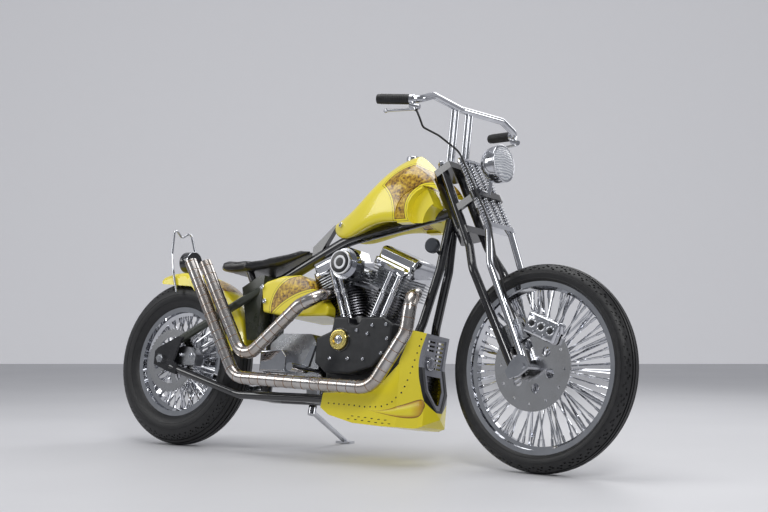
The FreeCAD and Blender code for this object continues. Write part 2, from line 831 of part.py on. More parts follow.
def fuel_tank():
    """The humped tank, with a tunnel for the backbone, scooped sides and a front cut back for the fork."""
    sections = [
        tank_section(712, 840, 874, 24),
        tank_section(746, 812, 892, 48),
        tank_section(810, 802, 934, 78),
        tank_section(890, 824, 1002, 104),
        tank_section(980, 842, 1074, 120),
        tank_section(1060, 838, 1104, 126),
        tank_section(1130, 832, 1094, 122),
        tank_section(1180, 842, 1046, 112),
        tank_section(1208, 866, 1000, 98),
    ]
    body = Part.makeLoft(sections, True, False)
    path = spine_path()
    below = [(p.x, p.z) for p in reversed(path)] + [(1300, 700), (660, 640)]
    slot = BACKBONE_R + SEAT_GAP
    tunnel = flat(below, -slot, slot)
    spine = tube(path, slot, 300)
    corner = disc(Vector(1226, 0, 838), 78, -150, 150)
    scoops = [disc(Vector(1150, 0, 868), 100, low, low + 60) for low in (-154, 94)]
    corner = corner.multiFuse(scoops)
    reach = NECK_HIGH + 300 - NECK_LOW
    swing = Part.makeCylinder(SWING_R, reach, Vector(0, 0, NECK_LOW - 60))
    ahead = Part.makeBox(300, 2 * SWING_R, reach, Vector(-SWING_BACK, -SWING_R, NECK_LOW - 60))
    sweep = swing.common(ahead)
    sweep.Placement = FORK_STRAIGHT.multiply(sweep.Placement)
    neck = grown_rod(fork_to_bike(0, 0, NECK_LOW), fork_to_bike(0, 0, NECK_HIGH), NECK_R + 4)
    seat = Part.makeCylinder(34, 40, Vector(FILLER_X, 0, FILLER_Z))
    for cutter in (tunnel, spine, corner, sweep, neck, seat):
        body = body.cut(cutter)
    return body


def fuel_cap():
    """The filler cap."""
    cap = Part.makeCylinder(30, 18, Vector(FILLER_X, 0, FILLER_Z + SEAT_GAP))
    return rounded(cap, lambda e: e.BoundBox.ZMin > FILLER_Z + 10, 5)


def oil_tank():
    """The rounded oil tank ahead of the seat post."""
    outline = [
        (478, 518),
        (461, 616),
        (484, 634),
        (560, 654),
        (640, 656),
        (690, 636),
        (716, 596),
        (786, 536),
        (782, 504),
        (590, 501),
    ]
    body = rounded(flat(outline, -124, 124), crosswise, 12)
    body = rounded(body, lambda e: abs(e.BoundBox.YMin) > 123 and e.BoundBox.YLength < 1, 10)
    knot = Part.makeSphere(KNOT_R + SEAT_GAP, spine_path()[-1])
    head_room = Part.makeBox(188, 180, ROCKER_TOP - CYL_TOP + 4, Vector(-94, -90, CYL_TOP - 2))
    engine_room = Part.makeCylinder(CYL_FIN_R + 3, 300, Vector(0, 0, 20)).fuse(head_room)
    body = body.cut(along_cylinder(engine_room, -1)).cut(rear_pipe(3))
    return largest(body.cut(seat_post(SEAT_GAP)).cut(knot))


def saddle():
    """The thin sprung saddle."""
    outline = [
        (186, 718),
        (204, 694),
        (290, 686),
        (380, 690),
        (470, 712),
        (540, 742),
        (590, 762),
        (600, 774),
        (560, 770),
        (480, 744),
        (420, 724),
        (371, 717),
        (300, 716),
        (240, 720),
    ]
    pad = flat(outline, -118, 118)
    shape = [
        (186, 60),
        (240, 112),
        (360, 116),
        (450, 84),
        (520, 50),
        (592, 32),
        (602, 12),
    ]
    return pad.common(plan(shape, 600, 900))


def saddle_bracket():
    """The nose strap from the backbone to the tank's tail and the two springs under the saddle."""
    strap = flat([(604, 740), (640, 758), (706, 862), (700, 867), (604, 782)], -12, 12)
    strap = strap.cut(tube(spine_path(), BACKBONE_R + SEAT_GAP, 300))
    pieces = [largest(strap)]
    for side in (-1, 1):
        top = Vector(346, side * 66, 686 - SEAT_GAP)
        foot = Vector(372, side * 66, 640)
        coil = rod(foot, top, 15)
        outline = [(280, 760), (440, 760), (440, 695), (380, 689.7), (290, 685.7), (280, 685.7)]
        above = flat(outline, -100, 100)
        below = flat([(280, 600), (326, 620.4), (410, 666.4), (440, 666.4), (440, 560)], -100, 100)
        pieces.append(largest(coil.cut(above).cut(below)))
    return pieces


def fender():
    """The short rear fender, turned about the axle."""
    outer = FENDER_R
    inner = outer - 3
    half = FENDER_HALF
    profile = [
        (outer - 70, -half),
        (outer - 26, -half + 2),
        (outer - 7, -half + 22),
        (outer, 0),
        (outer - 7, half - 22),
        (outer - 26, half - 2),
        (outer - 70, half),
        (inner - 70, half - 3),
        (inner - 26, half - 5),
        (inner - 7, half - 24),
        (inner, 0),
        (inner - 7, -half + 24),
        (inner - 26, -half + 5),
        (inner - 70, -half + 3),
    ]
    ring = [Vector(r, y, REAR_TYRE_R) for r, y in profile]
    ring.append(ring[0])
    face = Part.Face(Part.makePolygon(ring))
    face.rotate(REAR_AXLE, AXIS_Y, -FENDER_START)
    body = face.revolve(REAR_AXLE, AXIS_Y, FENDER_START - FENDER_END)
    chain_room = flat([(180, 300), (420, 300), (420, 432), (180, 456)], 64, 100)
    lug = flat([(306, 470), (322, 520), (366, 512), (378, 466)], -20, 20)
    lug = lug.cut(disc(REAR_AXLE, inner - 1, -30, 30)).cut(gusset(SEAT_GAP))
    return largest(body.cut(chain_room).fuse(largest(lug)))


def sissy_bar():
    """The slim hoop behind the saddle."""
    reach = FENDER_HALF + 5 + SEAT_GAP
    half = [(-10, reach, -89), (-44, reach, 1), (-74, 74, 71), (-100, 48, 187)]
    half = [(x, y, FENDER_TOP + z) for x, y, z in half]
    points = [Vector(x, -y, z) for x, y, z in half]
    points.append(Vector(-100, 0, FENDER_TOP + 153))
    points += [Vector(x, y, z) for x, y, z in reversed(half)]
    return tube(points, 5, 16)


def tail_lamp():
    """The round lamp on the fender."""
    shell = rod(Vector(-14, 0, FENDER_TOP + 46), Vector(-64, 0, FENDER_TOP + 48), 44)
    shell = rounded(shell, lambda e: e.BoundBox.XMax < -60, 10)
    stalk = rod(Vector(-38, 0, FENDER_TOP - 23), Vector(-40, 0, FENDER_TOP + 37), 9)
    return shell.fuse(stalk).cut(disc(REAR_AXLE, FENDER_R + SEAT_GAP, -60, 60))


def inset(face, wall):
    """The face, or the face drawn in by a wall all round."""
    return face.makeOffset2D(-wall, 2) if wall else face


def beyond(a, b, c, wall):
    """The room ahead of the plane through three points, drawn back by a wall."""
    out = (b - a).cross(c - a)
    out = out * (1 if out.x > 0 else -1)
    out.normalize()
    room = Part.makeBox(600, 600, 200, Vector(-300, -300, 0))
    room.Placement = Placement(a - out * wall, Rotation(AXIS_Z, out))
    return room


def chin_form(top, wall):
    """The chin fairing's form: side and plan outlines, with a prow at its lower front."""
    lower = [(828, 148), (935, 124), (1055, CHIN_LOW), (1168, CHIN_LOW), (1194, 126), (1222, 156)]
    front = [(1197, 250), (1178, 340), (1190, 448)]
    ring = [Vector(x, -130, z) for x, z in lower + front + top]
    ring.append(ring[0])
    side = inset(Part.Face(Part.makePolygon(ring)), wall).extrude(Vector(0, 260, 0))
    half = [(750, CHIN_HALF), (1118, CHIN_HALF), (1180, 76), (1240, 70)]
    ring = [Vector(x, y, 60) for x, y in half] + [Vector(x, -y, 60) for x, y in reversed(half)]
    ring.append(ring[0])
    form = inset(Part.Face(Part.makePolygon(ring)), wall).extrude(Vector(0, 0, 560)).common(side)
    tip = Vector(1222, 0, 156)
    for y in (-1, 1):
        form = form.cut(beyond(tip, Vector(1198, y * 74, 252), Vector(1190, y * 95, CHIN_LOW), wall))
    return form


def chin_window(shrink):
    """The front opening's outline, carried through the fairing's face."""
    half = [(60, 434), (60, 252), (14, 186)]
    half = [(y - shrink, z - shrink if z > 300 else z + shrink) for y, z in half]
    ring = [Vector(1130, y, z) for y, z in half] + [Vector(1130, -y, z) for y, z in reversed(half)]
    ring.append(ring[0])
    return Part.Face(Part.makePolygon(ring)).extrude(Vector(140, 0, 0))


def chin_fairing():
    """The pan and cheeks round the lower frame, open at the front."""
    top = [(1146, 456), (1112, 334), (1042, 262), (1002, 236), (797, 225), (790, 172)]
    outer = chin_form(top, 0)
    inner = chin_form([(1190, 600), (752, 600), (752, 198)], CHIN_WALL)
    lugs = []
    for side in (-1, 1):
        reach = CHIN_HALF - 1
        low = reach - 15 if side > 0 else -reach
        rail = grown_rod(Vector(300, side * RAIL_Y, RAIL_Z), Vector(1000, side * RAIL_Y, RAIL_Z), TUBE_R)
        lugs.append(Part.makeBox(40, 15, 14, Vector(900, low, RAIL_Z - 7)).cut(rail))
    return outer.cut(inner).cut(chin_window(0)).multiFuse(lugs)


def fairing_grille():
    """The slotted plate behind the fairing's front opening, with a plain round boss."""
    form = chin_form([(1190, 600), (752, 600), (752, 198)], CHIN_WALL + SEAT_GAP)
    back = form.copy()
    back.translate(Vector(-CHIN_WALL, 0, 0))
    room = Part.makeBox(160, 140, 284, Vector(1120, -70, 162))
    plate = largest(form.cut(back).common(room))
    cuts = []
    for column, count in ((-1, 3), (1, 7)):
        low = -52 if column < 0 else 6
        for i in range(count):
            cuts.append(Part.makeBox(160, 46, 7, Vector(1120, low, 420 - SLOT_PITCH * i)))
    half = [(46, 304), (46, 256), (10, 204)]
    ring = [Vector(1120, y, z) for y, z in half] + [Vector(1120, -y, z) for y, z in reversed(half)]
    ring.append(ring[0])
    cuts.append(Part.Face(Part.makePolygon(ring)).extrude(Vector(160, 0, 0)))
    boss = rod(Vector(1168, -28, 348), Vector(1186, -28, 346), 20)
    return plate.cut(Part.makeCompound(cuts)).fuse(boss)


def cooler():
    """The finned cooler behind the chin."""
    low = CHIN_LOW + CHIN_WALL + SEAT_GAP
    pieces = [Part.makeBox(16, 150, 190, Vector(1141, -75, low))]
    for i in range(14):
        pieces.append(Part.makeBox(24, 158, 3, Vector(1137, -79, low + 10 + 13 * i)))
    return pieces[0].multiFuse(pieces[1:])


def foot_controls():
    """Pegs and pedals on both sides."""
    x = 762.0
    right = [
        Vector(x, -RAIL_Y, RAIL_Z),
        Vector(x, -RAIL_Y - 6, 300),
        Vector(x, -200, 300),
    ]
    left = [
        Vector(x, RAIL_Y, RAIL_Z),
        Vector(x, 192, RAIL_Z - 4),
        Vector(x, 192, 300),
    ]
    rails = [
        grown_rod(Vector(300, side * RAIL_Y, RAIL_Z), Vector(1000, side * RAIL_Y, RAIL_Z), TUBE_R)
        for side in (-1, 1)
    ]
    pieces = []
    for side, path, rail in ((-1, right, rails[0]), (1, left, rails[1])):
        arm = largest(tube(path, 9, 18).cut(rail))
        peg = rod(Vector(x, side * 190, 300), Vector(x, side * 285, 300), 15)
        low = side * 200 - 6
        pedal = flat([(x - 10, 304), (x + 22, 308), (x + 46, 384), (x + 32, 388)], low, low + 12)
        pieces.append(arm.multiFuse([peg, pedal]))
    return pieces


def rear_caliper():
    """The rear caliper, on a plate round the axle."""
    outline = [(54, -20), (52, 46), (80, 56), (118, 50), (150, 22), (146, -20)]
    outline = [(x, REAR_TYRE_R + z) for x, z in outline]
    body = flat(outline, -110, -66)
    low = REAR_DISC_Y - DISC_T / 2 - DISC_GAP
    slot = disc(REAR_AXLE, REAR_DISC_R + DISC_CLEAR, low, low + DISC_T + 2 * DISC_GAP)
    outline = [(-16, -14), (-16, 14), (56, 44), (60, -16)]
    outline = [(x, REAR_TYRE_R + z) for x, z in outline]
    plate = flat(outline, -110, -102)
    bore = disc(REAR_AXLE, AXLE_R + FIT, -130, 0)
    return body.cut(slot).fuse(plate).cut(bore)


def drive_chain():
    """The final-drive chain as one loop on the left."""
    small = Vector(BOX_SPROCKET_X, 0, BOX_SPROCKET_Z)
    big_r = SPROCKET_R + CHAIN_GAP
    small_r = GEARBOX_SPROCKET_R + CHAIN_GAP

    def loop(extra, low, high):
        rb = big_r + extra
        rs = small_r + extra
        angle = math.asin((rb - rs) / small.x)
        up = Vector(math.sin(angle), 0, math.cos(angle))
        down = Vector(math.sin(angle), 0, -math.cos(angle))
        base = Vector(0, low, 0)
        a = REAR_AXLE + up * rb + base
        b = small + up * rs + base
        c = small + Vector(rs, 0, 0) + base
        d = small + down * rs + base
        e = REAR_AXLE + down * rb + base
        f = REAR_AXLE + Vector(-rb, 0, 0) + base
        wire = Part.Wire(
            [
                Part.LineSegment(a, b).toShape(),
                Part.Arc(b, c, d).toShape(),
                Part.LineSegment(d, e).toShape(),
                Part.Arc(e, f, a).toShape(),
            ]
        )
        return Part.Face(wire).extrude(Vector(0, high - low, 0))

    low = SPROCKET_Y - CHAIN_W / 2
    high = SPROCKET_Y + CHAIN_W / 2
    return loop(CHAIN_H, low, high).cut(loop(0, low - 1, high + 1))


def yoke(low, thick, ahead):
    """A fork yoke round the stem and both rigid legs."""
    wide = LEG_TOP_Y + 8
    back = RIGID_X - 16
    ring = [Vector(-8, 20, low), Vector(back, wide, low), Vector(ahead, wide, low)]
    ring += [Vector(p.x, -p.y, p.z) for p in reversed(ring)]
    ring.append(ring[0])
    plate = Part.Face(Part.makePolygon(ring)).extrude(Vector(0, 0, thick))
    return Part.makeCylinder(22, thick, Vector(0, 0, low)).fuse(plate)


def perch_bar(low, thick, half, ends):
    """A round-ended cross bar in line with the springs."""
    bar = Part.makeBox(2 * half, 2 * ends, thick, Vector(SPRING_X - half, -ends, low))
    return rounded(bar, upright, half - 1)


def rigid_legs():
    """The rigid fork legs with their yokes, stem and spring perch."""
    pieces = []
    for side in (-1, 1):
        path = [
            Vector(RIGID_X, side * LEG_Y, -14),
            Vector(RIGID_X, side * LEG_Y, LEG_BEND_LOW),
            Vector(RIGID_X, side * LEG_TOP_Y, LEG_BEND_HIGH),
            Vector(RIGID_X + LEG_LEAN_AHEAD, side * (LEG_TOP_Y - LEG_LEAN_IN), CLAMP_LOW + CLAMP_T + 6),
        ]
        pieces.append(tube(path, RIGID_R, 90))
        start = Vector(RIGID_X, side * LEG_TOP_Y - 8, PERCH_LOW)
        pieces.append(Part.makeBox(SPRING_X - RIGID_X, 16, PERCH_T, start))
    pieces.append(rod(Vector(0, 0, CROWN_LOW), Vector(0, 0, CLAMP_LOW + CLAMP_T + 10), STEM_R))
    pieces.append(rod(Vector(0, 0, CROWN_LOW), Vector(0, 0, NECK_LOW - SEAT_GAP), NECK_R - 3))
    pieces.append(rod(Vector(0, 0, NECK_HIGH + SEAT_GAP), Vector(0, 0, CLAMP_LOW), NECK_R - 3))
    pieces.append(yoke(CROWN_LOW, CROWN_T, RIGID_X + 18))
    pieces.append(yoke(CLAMP_LOW, CLAMP_T, RIGID_X + 54))
    pieces.append(perch_bar(PERCH_LOW, PERCH_T, 17, SPRING_YS[3] + 17))
    body = pieces[0].multiFuse(pieces[1:])
    low = PERCH_LOW - 1
    high = PERCH_LOW + PERCH_T + 1
    hole_r = ROD_R + SEAT_GAP
    holes = [rod(Vector(SPRING_X, y, low), Vector(SPRING_X, y, high), hole_r) for y in SPRING_YS]
    return body.cut(Part.makeCompound(holes))


def spring_legs():
    """The sprung front legs, their bridge and the rods through the springs."""
    pieces = []
    for side in (-1, 1):
        path = [
            Vector(86, side * LEG_Y, 24),
            Vector(108, side * LEG_Y, 380),
            Vector(SPRING_X, side * 66, LOWER_SPRING_LOW - 12),
        ]
        pieces.append(tube(path, SPRING_LEG_R, 120))
    pieces.append(perch_bar(LOWER_SPRING_LOW - 20, 20, 15, SPRING_YS[3] + 15))
    pieces.append(perch_bar(UPPER_SPRING_HIGH, 10, 14, SPRING_YS[3] + 14))
    for y in SPRING_YS:
        low = Vector(SPRING_X, y, LOWER_SPRING_LOW - 4)
        pieces.append(rod(low, Vector(SPRING_X, y, UPPER_SPRING_HIGH + 24), ROD_R))
    return pieces[0].multiFuse(pieces[1:])


def spring(low, high):
    """One coil spring as a ribbed sleeve round its rod."""
    low += SEAT_GAP
    high -= SEAT_GAP
    step = (high - low) / SPRING_COILS
    outer = [(SPRING_R - 4, low)]
    for i in range(SPRING_COILS):
        outer.append((SPRING_R, low + step * (i + 0.5)))
        outer.append((SPRING_R - 4, low + step * (i + 1)))
    ring = [Vector(r, 0, z) for r, z in outer]
    bore = ROD_R + SEAT_GAP
    ring += [Vector(bore, 0, high), Vector(bore, 0, low), ring[0]]
    return Part.Face(Part.makePolygon(ring)).revolve(Vector(0, 0, 0), AXIS_Z, 360)


def springs():
    """Eight coil springs, four above the perch and four below."""
    coils = []
    for y in SPRING_YS:
        for low, high in ((LOWER_SPRING_LOW, PERCH_LOW), (PERCH_LOW + PERCH_T, UPPER_SPRING_HIGH)):
            coil = spring(low, high)
            coil.translate(Vector(SPRING_X, y, 0))
            coils.append(coil)
    return coils


def rockers():
    """The rockers that carry the front axle, and the axle."""
    pieces = []
    inner = LEG_Y + RIGID_R + SEAT_GAP
    outline = [(24, -14), (24, 14), (60, 34), (96, 40), (112, 20), (112, -16), (60, -22)]
    for side in (-1, 1):
        low = inner if side > 0 else -inner - ROCKER_T
        pieces.append(flat(outline, low, low + ROCKER_T))
        near = LEG_Y + SPRING_LEG_R + SEAT_GAP
        start = near if side > 0 else -inner - 1
        pieces.append(disc(Vector(88, 0, 26), 10, start, start + inner + 1 - near))
    axle = disc(WHEEL_LOCAL, AXLE_R, -LEG_Y - 36, LEG_Y + 36)
    return axle.multiFuse(pieces)


def bar_path():
    """The handlebar's line, from the right end to the left."""
    half = [
        (BAR_MIDDLE_X - 98.7, BAR_END_Y, BAR_MIDDLE_Z + 23.1),
        (BAR_MIDDLE_X + 18.4, BAR_END_Y - 38, BAR_MIDDLE_Z - 50.5),
        (BAR_MIDDLE_X + 30, BAR_END_Y - 128, BAR_MIDDLE_Z - 15.9),
    ]
    points = [Vector(x, -y, z) for x, y, z in half]
    points.append(Vector(BAR_MIDDLE_X, 0, BAR_MIDDLE_Z))
    points += [Vector(x, y, z) for x, y, z in reversed(half)]
    return points


def risers():
    """Four riser rods from the top yoke to the handlebar."""
    pieces = []
    cutter = tube(bar_path(), BAR_R + SEAT_GAP, BAR_BEND)
    for y in (-54, -30, 30, 54):
        foot = Vector(RIGID_X + 38, y, CLAMP_LOW + CLAMP_T + SEAT_GAP)
        top = Vector(BAR_MIDDLE_X + 5.3, y, BAR_MIDDLE_Z - 2.8)
        level = Part.makeBox(400, 400, 600, Vector(-200, -200, foot.z))
        riser = rod(foot - AXIS_Z * 10, top, RISER_R).common(level).cut(cutter)
        pieces.append(largest(riser))
    return pieces


def handlebar():
    """The pulled-back bar."""
    return tube(bar_path(), BAR_R, BAR_BEND)


def grips():
    """The two hand grips on the bar's ends."""
    pieces = []
    path = bar_path()
    cutter = tube(path, BAR_R + SEAT_GAP, BAR_BEND)
    for start, bend in ((path[0], path[1]), (path[-1], path[-2])):
        along = bend - start
        along.normalize()
        sleeve = rod(start - along * 8, start + along * GRIP_LENGTH, GRIP_R)
        inside = rod(start - along * SEAT_GAP, start + along, BAR_R + SEAT_GAP)
        pieces.append(largest(sleeve.cut(cutter).cut(inside)))
    return pieces


def perch_foot(start, bend):
    """Where a lever's perch ends under the bar, and the middle of its clamp."""
    along = bend - start
    along.normalize()
    middle = start + along * (GRIP_LENGTH + 8)
    return middle - AXIS_Z * 44, middle, along


def levers():
    """Brake and clutch levers on their clamps round the bar."""
    pieces = []
    path = bar_path()
    cutter = tube(path, BAR_R + SEAT_GAP, BAR_BEND)
    for start, bend in ((path[0], path[1]), (path[-1], path[-2])):
        foot, middle, along = perch_foot(start, bend)
        clamp = rod(middle - along * 6, middle + along * 6, BAR_R + 5)
        perch = rod(middle, foot, 7)
        reservoir = rod(foot + along * 16 + AXIS_Z * 12, foot - along * 16 + AXIS_Z * 20, 9)
        blade = rod(foot + AXIS_Z * 4, start - AXIS_Z * 50 + along * 4, 5)
        tip = Part.makeSphere(8, start - AXIS_Z * 50 + along * 4)
        pieces.append(largest(clamp.multiFuse([perch, reservoir, blade, tip]).cut(cutter)))
    return pieces


def brake_hose():
    """The hose from the right lever's perch down past the springs to the front caliper."""
    path = bar_path()
    foot = perch_foot(path[0], path[1])[0] - AXIS_Z * SEAT_GAP
    outside = -SPRING_YS[3] - 26
    points = [
        foot,
        foot + Vector(-1, 3, -25),
        Vector(SPRING_X + 17, -262, 866),
        Vector(SPRING_X + 17, -180, 852),
        Vector(SPRING_X + 22, outside - 4, UPPER_SPRING_HIGH + 25),
        Vector(SPRING_X + 22, outside, LOWER_SPRING_LOW - 20),
        Vector(136, -LEG_Y - 4, 372),
        Vector(106, CALIPER_Y, 240),
        Vector(106, CALIPER_Y, CALIPER_TOP + SEAT_GAP),
    ]
    return tube(points, HOSE_R, 40)


def headlamp():
    """The domed headlamp on its bracket from the spring perch."""
    face = Vector(LAMP_X, 0, LAMP_Z)
    out = Vector(69.5, 0, -29.0)
    out.normalize()
    back = face - out * LAMP_DEEP
    shell = rounded(rod(back, face, LAMP_R), lambda e: (e.CenterOfMass - back).Length < 1, LAMP_R - 12)
    front = SPRING_X + 17 + SEAT_GAP
    foot = Vector(front - 10, 0, PERCH_LOW + PERCH_T / 2)
    stalk = rod(foot, face - out * 40, 9)
    ahead = Part.makeBox(300, 300, 600, Vector(front, -150, 400))
    return shell.fuse(stalk.common(ahead))


def front_caliper():
    """The front caliper over the disc's rear edge, bolted inside the right rigid leg."""
    high = FRONT_DISC_Y + DISC_T / 2 + DISC_GAP + 8
    outline = [(40, 88), (40, CALIPER_TOP - 10), (52, CALIPER_TOP), (118, CALIPER_TOP), (128, 92)]
    body = flat(outline, -LEG_Y + RIGID_R + SEAT_GAP, high)
    low = FRONT_DISC_Y - DISC_T / 2 - DISC_GAP
    slot = disc(WHEEL_LOCAL, FRONT_DISC_R + DISC_CLEAR, low, low + DISC_T + 2 * DISC_GAP)
    return body.cut(slot)


def rear_axle():
    """The rear axle with its nuts."""
    bar = disc(REAR_AXLE, AXLE_R, -PLATE_Y - 30, PLATE_Y + 30)
    nuts = []
    for side in (-1, 1):
        start = REAR_AXLE + Vector(0, side * (PLATE_Y + PLATE_T / 2 + SEAT_GAP), 0)
        nuts.append(prism_bar(start, start + Vector(0, side * 16, 0), 18, 6))
    return bar.multiFuse(nuts)


def lowest(centre, axle, radius, crown_r):
    """Height of a round tyre's lowest point."""
    return centre.z - (radius - crown_r) * math.sqrt(1 - axle.z**2) - crown_r


def poses():
    """Placements of the chassis and of the turned fork in the parked bike."""
    lean = Placement(Vector(0, 0, 0), Rotation(Vector(1, 0, 0), -LEAN))
    turn = FORK_STRAIGHT.multiply(Placement(Vector(0, 0, 0), Rotation(AXIS_Z, STEER)))
    chassis = lean
    for _ in range(3):
        fork = chassis.multiply(turn)
        rear_low = lowest(
            chassis.multVec(REAR_AXLE), chassis.Rotation.multVec(AXIS_Y), REAR_TYRE_R, REAR_CROWN_R
        )
        front_low = lowest(
            fork.multVec(WHEEL_LOCAL), fork.Rotation.multVec(AXIS_Y), FRONT_TYRE_R, FRONT_CROWN_R
        )
        pitch = math.degrees((front_low - rear_low) / WHEELBASE)
        level = Placement(Vector(0, 0, -rear_low), Rotation(AXIS_Y, pitch))
        chassis = level.multiply(chassis)
    return chassis, chassis.multiply(turn)


def side_stand(chassis):
    """The side stand, swung out with its foot flat on the ground."""
    ground = chassis.inverse()
    foot = ground.multVec(Vector(STAND_FOOT_X, STAND_FOOT_Y, STAND_FOOT_T / 2 + 4))
    leg = rod(STAND_PIVOT, foot, STAND_R)
    pivot = rod(STAND_PIVOT - STAND_AXIS * 13, STAND_PIVOT + STAND_AXIS * 13, 16)
    pad = Part.makeBox(70, 34, STAND_FOOT_T, Vector(STAND_FOOT_X - 35, STAND_FOOT_Y - 17, 0))
    pad.Placement = ground.multiply(pad.Placement)
    return leg.multiFuse([pivot, pad])


def stand_bracket():
    """The lug under the left rail that carries the side stand."""
    start = STAND_PIVOT + STAND_AXIS * (13 + SEAT_GAP)
    ear = rod(start, STAND_PIVOT + STAND_AXIS * 34, 16)
    rail = grown_rod(Vector(300, RAIL_Y, RAIL_Z), Vector(1000, RAIL_Y, RAIL_Z), TUBE_R)
    return largest(ear.cut(rail))


def as_list(shape):
    """One shape or a list of shapes, as a list."""
    return shape if isinstance(shape, list) else [shape]


def assemble():
    """Every node in place on the parked bike, with the placements of chassis and fork."""
    chassis, fork = poses()
    rear = (REAR_AXLE, REAR_TYRE_R, REAR_TYRE_HALF, REAR_CROWN_R, REAR_TREAD_HALF)
    front = (WHEEL_LOCAL, FRONT_TYRE_R, FRONT_TYRE_HALF, FRONT_CROWN_R, FRONT_TREAD_HALF)
    on_chassis = {
        "frame_backbone": frame_backbone(),
        "frame_downtubes": frame_downtubes(),
        "frame_rails": frame_rails(),
        "frame_stays": frame_stays(),
        "crankcase": crankcase(),
        "gearcase_cover": gearcase_cover(),
        "timing_cap": timing_cap(),
        "cylinders": pair(cylinder()),
        "heads": pair(head()),
        "rocker_boxes": pair(rocker_box()),
        "pushrod_tubes": pushrod_tubes(),
        "air_cleaner": air_cleaner(),
        "carburettor": carburettor(),
        "gearbox": gearbox(),
        "gearbox_cover": gearbox_cover(),
        "primary_cover": primary_cover(),
        "exhaust_pipes": exhaust_pipes(),
        "fuel_tank": fuel_tank(),
        "fuel_cap": fuel_cap(),
        "oil_tank": oil_tank(),
        "saddle": saddle(),
        "saddle_bracket": saddle_bracket(),
        "rear_fender": fender(),
        "sissy_bar": sissy_bar(),
        "tail_lamp": tail_lamp(),
        "chin_fairing": chin_fairing(),
        "fairing_grille": fairing_grille(),
        "cooler": cooler(),
        "horn": horn(),
        "foot_controls": foot_controls(),
        "rear_caliper": rear_caliper(),
        "drive_chain": drive_chain(),
        "rear_axle": rear_axle(),
        "stand_bracket": stand_bracket(),
        "side_stand": side_stand(chassis),
        "rear_tyre": tyre(*rear, REAR_SEAT_R, REAR_FLANGE_R, REAR_RIM_HALF),
        "rear_rim": rim(REAR_AXLE, REAR_SEAT_R, REAR_FLANGE_R, REAR_RIM_HALF),
        "rear_hub": hub(REAR_AXLE, REAR_HUB_R, REAR_HUB_HALF, REAR_SEAT_R, REAR_SPOKES, REAR_SPOKE_R),
        "rear_disc": rear_disc(),
        "rear_sprocket": rear_sprocket(),
    }
    on_fork = {
        "rigid_legs": rigid_legs(),
        "spring_legs": spring_legs(),
        "fork_springs": springs(),
        "rockers": rockers(),
        "risers": risers(),
        "handlebar": handlebar(),
        "grips": grips(),
        "levers": levers(),
        "brake_hose": brake_hose(),
        "headlamp": headlamp(),
        "front_caliper": front_caliper(),
        "front_tyre": tyre(*front, FRONT_SEAT_R, FRONT_FLANGE_R, FRONT_RIM_HALF),
        "front_rim": rim(WHEEL_LOCAL, FRONT_SEAT_R, FRONT_FLANGE_R, FRONT_RIM_HALF),
        "front_hub": hub(
            WHEEL_LOCAL, FRONT_HUB_R, FRONT_HUB_HALF, FRONT_SEAT_R, FRONT_SPOKES, FRONT_SPOKE_R
        ),
        "front_disc": front_disc(),
    }
    placed = {}
    for parts, pose in ((on_chassis, chassis), (on_fork, fork)):
        for name, shape in parts.items():
            solids = []
            for piece in as_list(shape):
                piece = piece.copy()
                piece.Placement = pose.multiply(piece.Placement)
                solids += piece.Solids
            placed[name] = Part.makeCompound(solids)
    boxes = [shape.optimalBoundingBox(True, False) for shape in placed.values()]
    origin = Vector(
        (min(b.XMin for b in boxes) + max(b.XMax for b in boxes)) / 2,
        (min(b.YMin for b in boxes) + max(b.YMax for b in boxes)) / 2,
        0,
    )
    for shape in placed.values():
        shape.translate(origin * -1)
    move = Placement(origin * -1, Rotation())
    return placed, move.multiply(chassis), move.multiply(fork)


def main():
    placed = assemble()[0]
    os.makedirs("parts", exist_ok=True)
    for name, shape in placed.items():
        shape.exportStep("parts/" + name + ".step")


if __name__ == "__main__":
    main()
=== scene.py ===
import json
import math

import bpy
from mathutils import Matrix, Vector

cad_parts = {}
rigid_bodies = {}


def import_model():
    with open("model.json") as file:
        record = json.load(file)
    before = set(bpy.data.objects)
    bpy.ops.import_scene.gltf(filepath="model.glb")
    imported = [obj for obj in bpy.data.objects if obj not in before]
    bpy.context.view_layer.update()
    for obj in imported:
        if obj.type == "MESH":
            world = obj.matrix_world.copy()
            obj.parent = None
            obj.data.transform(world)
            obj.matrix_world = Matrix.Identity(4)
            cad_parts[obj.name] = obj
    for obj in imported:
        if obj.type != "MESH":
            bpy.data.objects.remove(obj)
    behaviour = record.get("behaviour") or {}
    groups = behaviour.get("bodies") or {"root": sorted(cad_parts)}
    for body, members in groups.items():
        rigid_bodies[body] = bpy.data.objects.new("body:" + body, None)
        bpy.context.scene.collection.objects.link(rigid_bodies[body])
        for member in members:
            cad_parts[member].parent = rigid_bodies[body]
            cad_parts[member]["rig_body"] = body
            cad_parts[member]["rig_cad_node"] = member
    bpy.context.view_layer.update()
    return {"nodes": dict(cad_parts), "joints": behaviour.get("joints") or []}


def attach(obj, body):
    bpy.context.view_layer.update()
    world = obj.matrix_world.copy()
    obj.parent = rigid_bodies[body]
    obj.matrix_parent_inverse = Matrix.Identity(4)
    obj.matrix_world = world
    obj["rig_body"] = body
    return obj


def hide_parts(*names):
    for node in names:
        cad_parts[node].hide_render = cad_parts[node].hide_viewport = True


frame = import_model()
nodes = frame["nodes"]
joints = {joint["name"]: joint for joint in frame["joints"]}

# Frames of the leaning bike and of its turned fork, from the joints' own axes
RAKE = math.radians(28.0)
REAR_AXLE_HEIGHT = 0.330
FRONT_AXLE_AHEAD = 0.091


def turned_frame(first, second, seen_first, seen_second):
    """The rotation that takes two directions to where they are seen."""
    drawn = Matrix((first, second, first.cross(second))).transposed()
    seen = Matrix((seen_first, seen_second, seen_first.cross(seen_second))).transposed()
    return seen @ drawn.inverted()


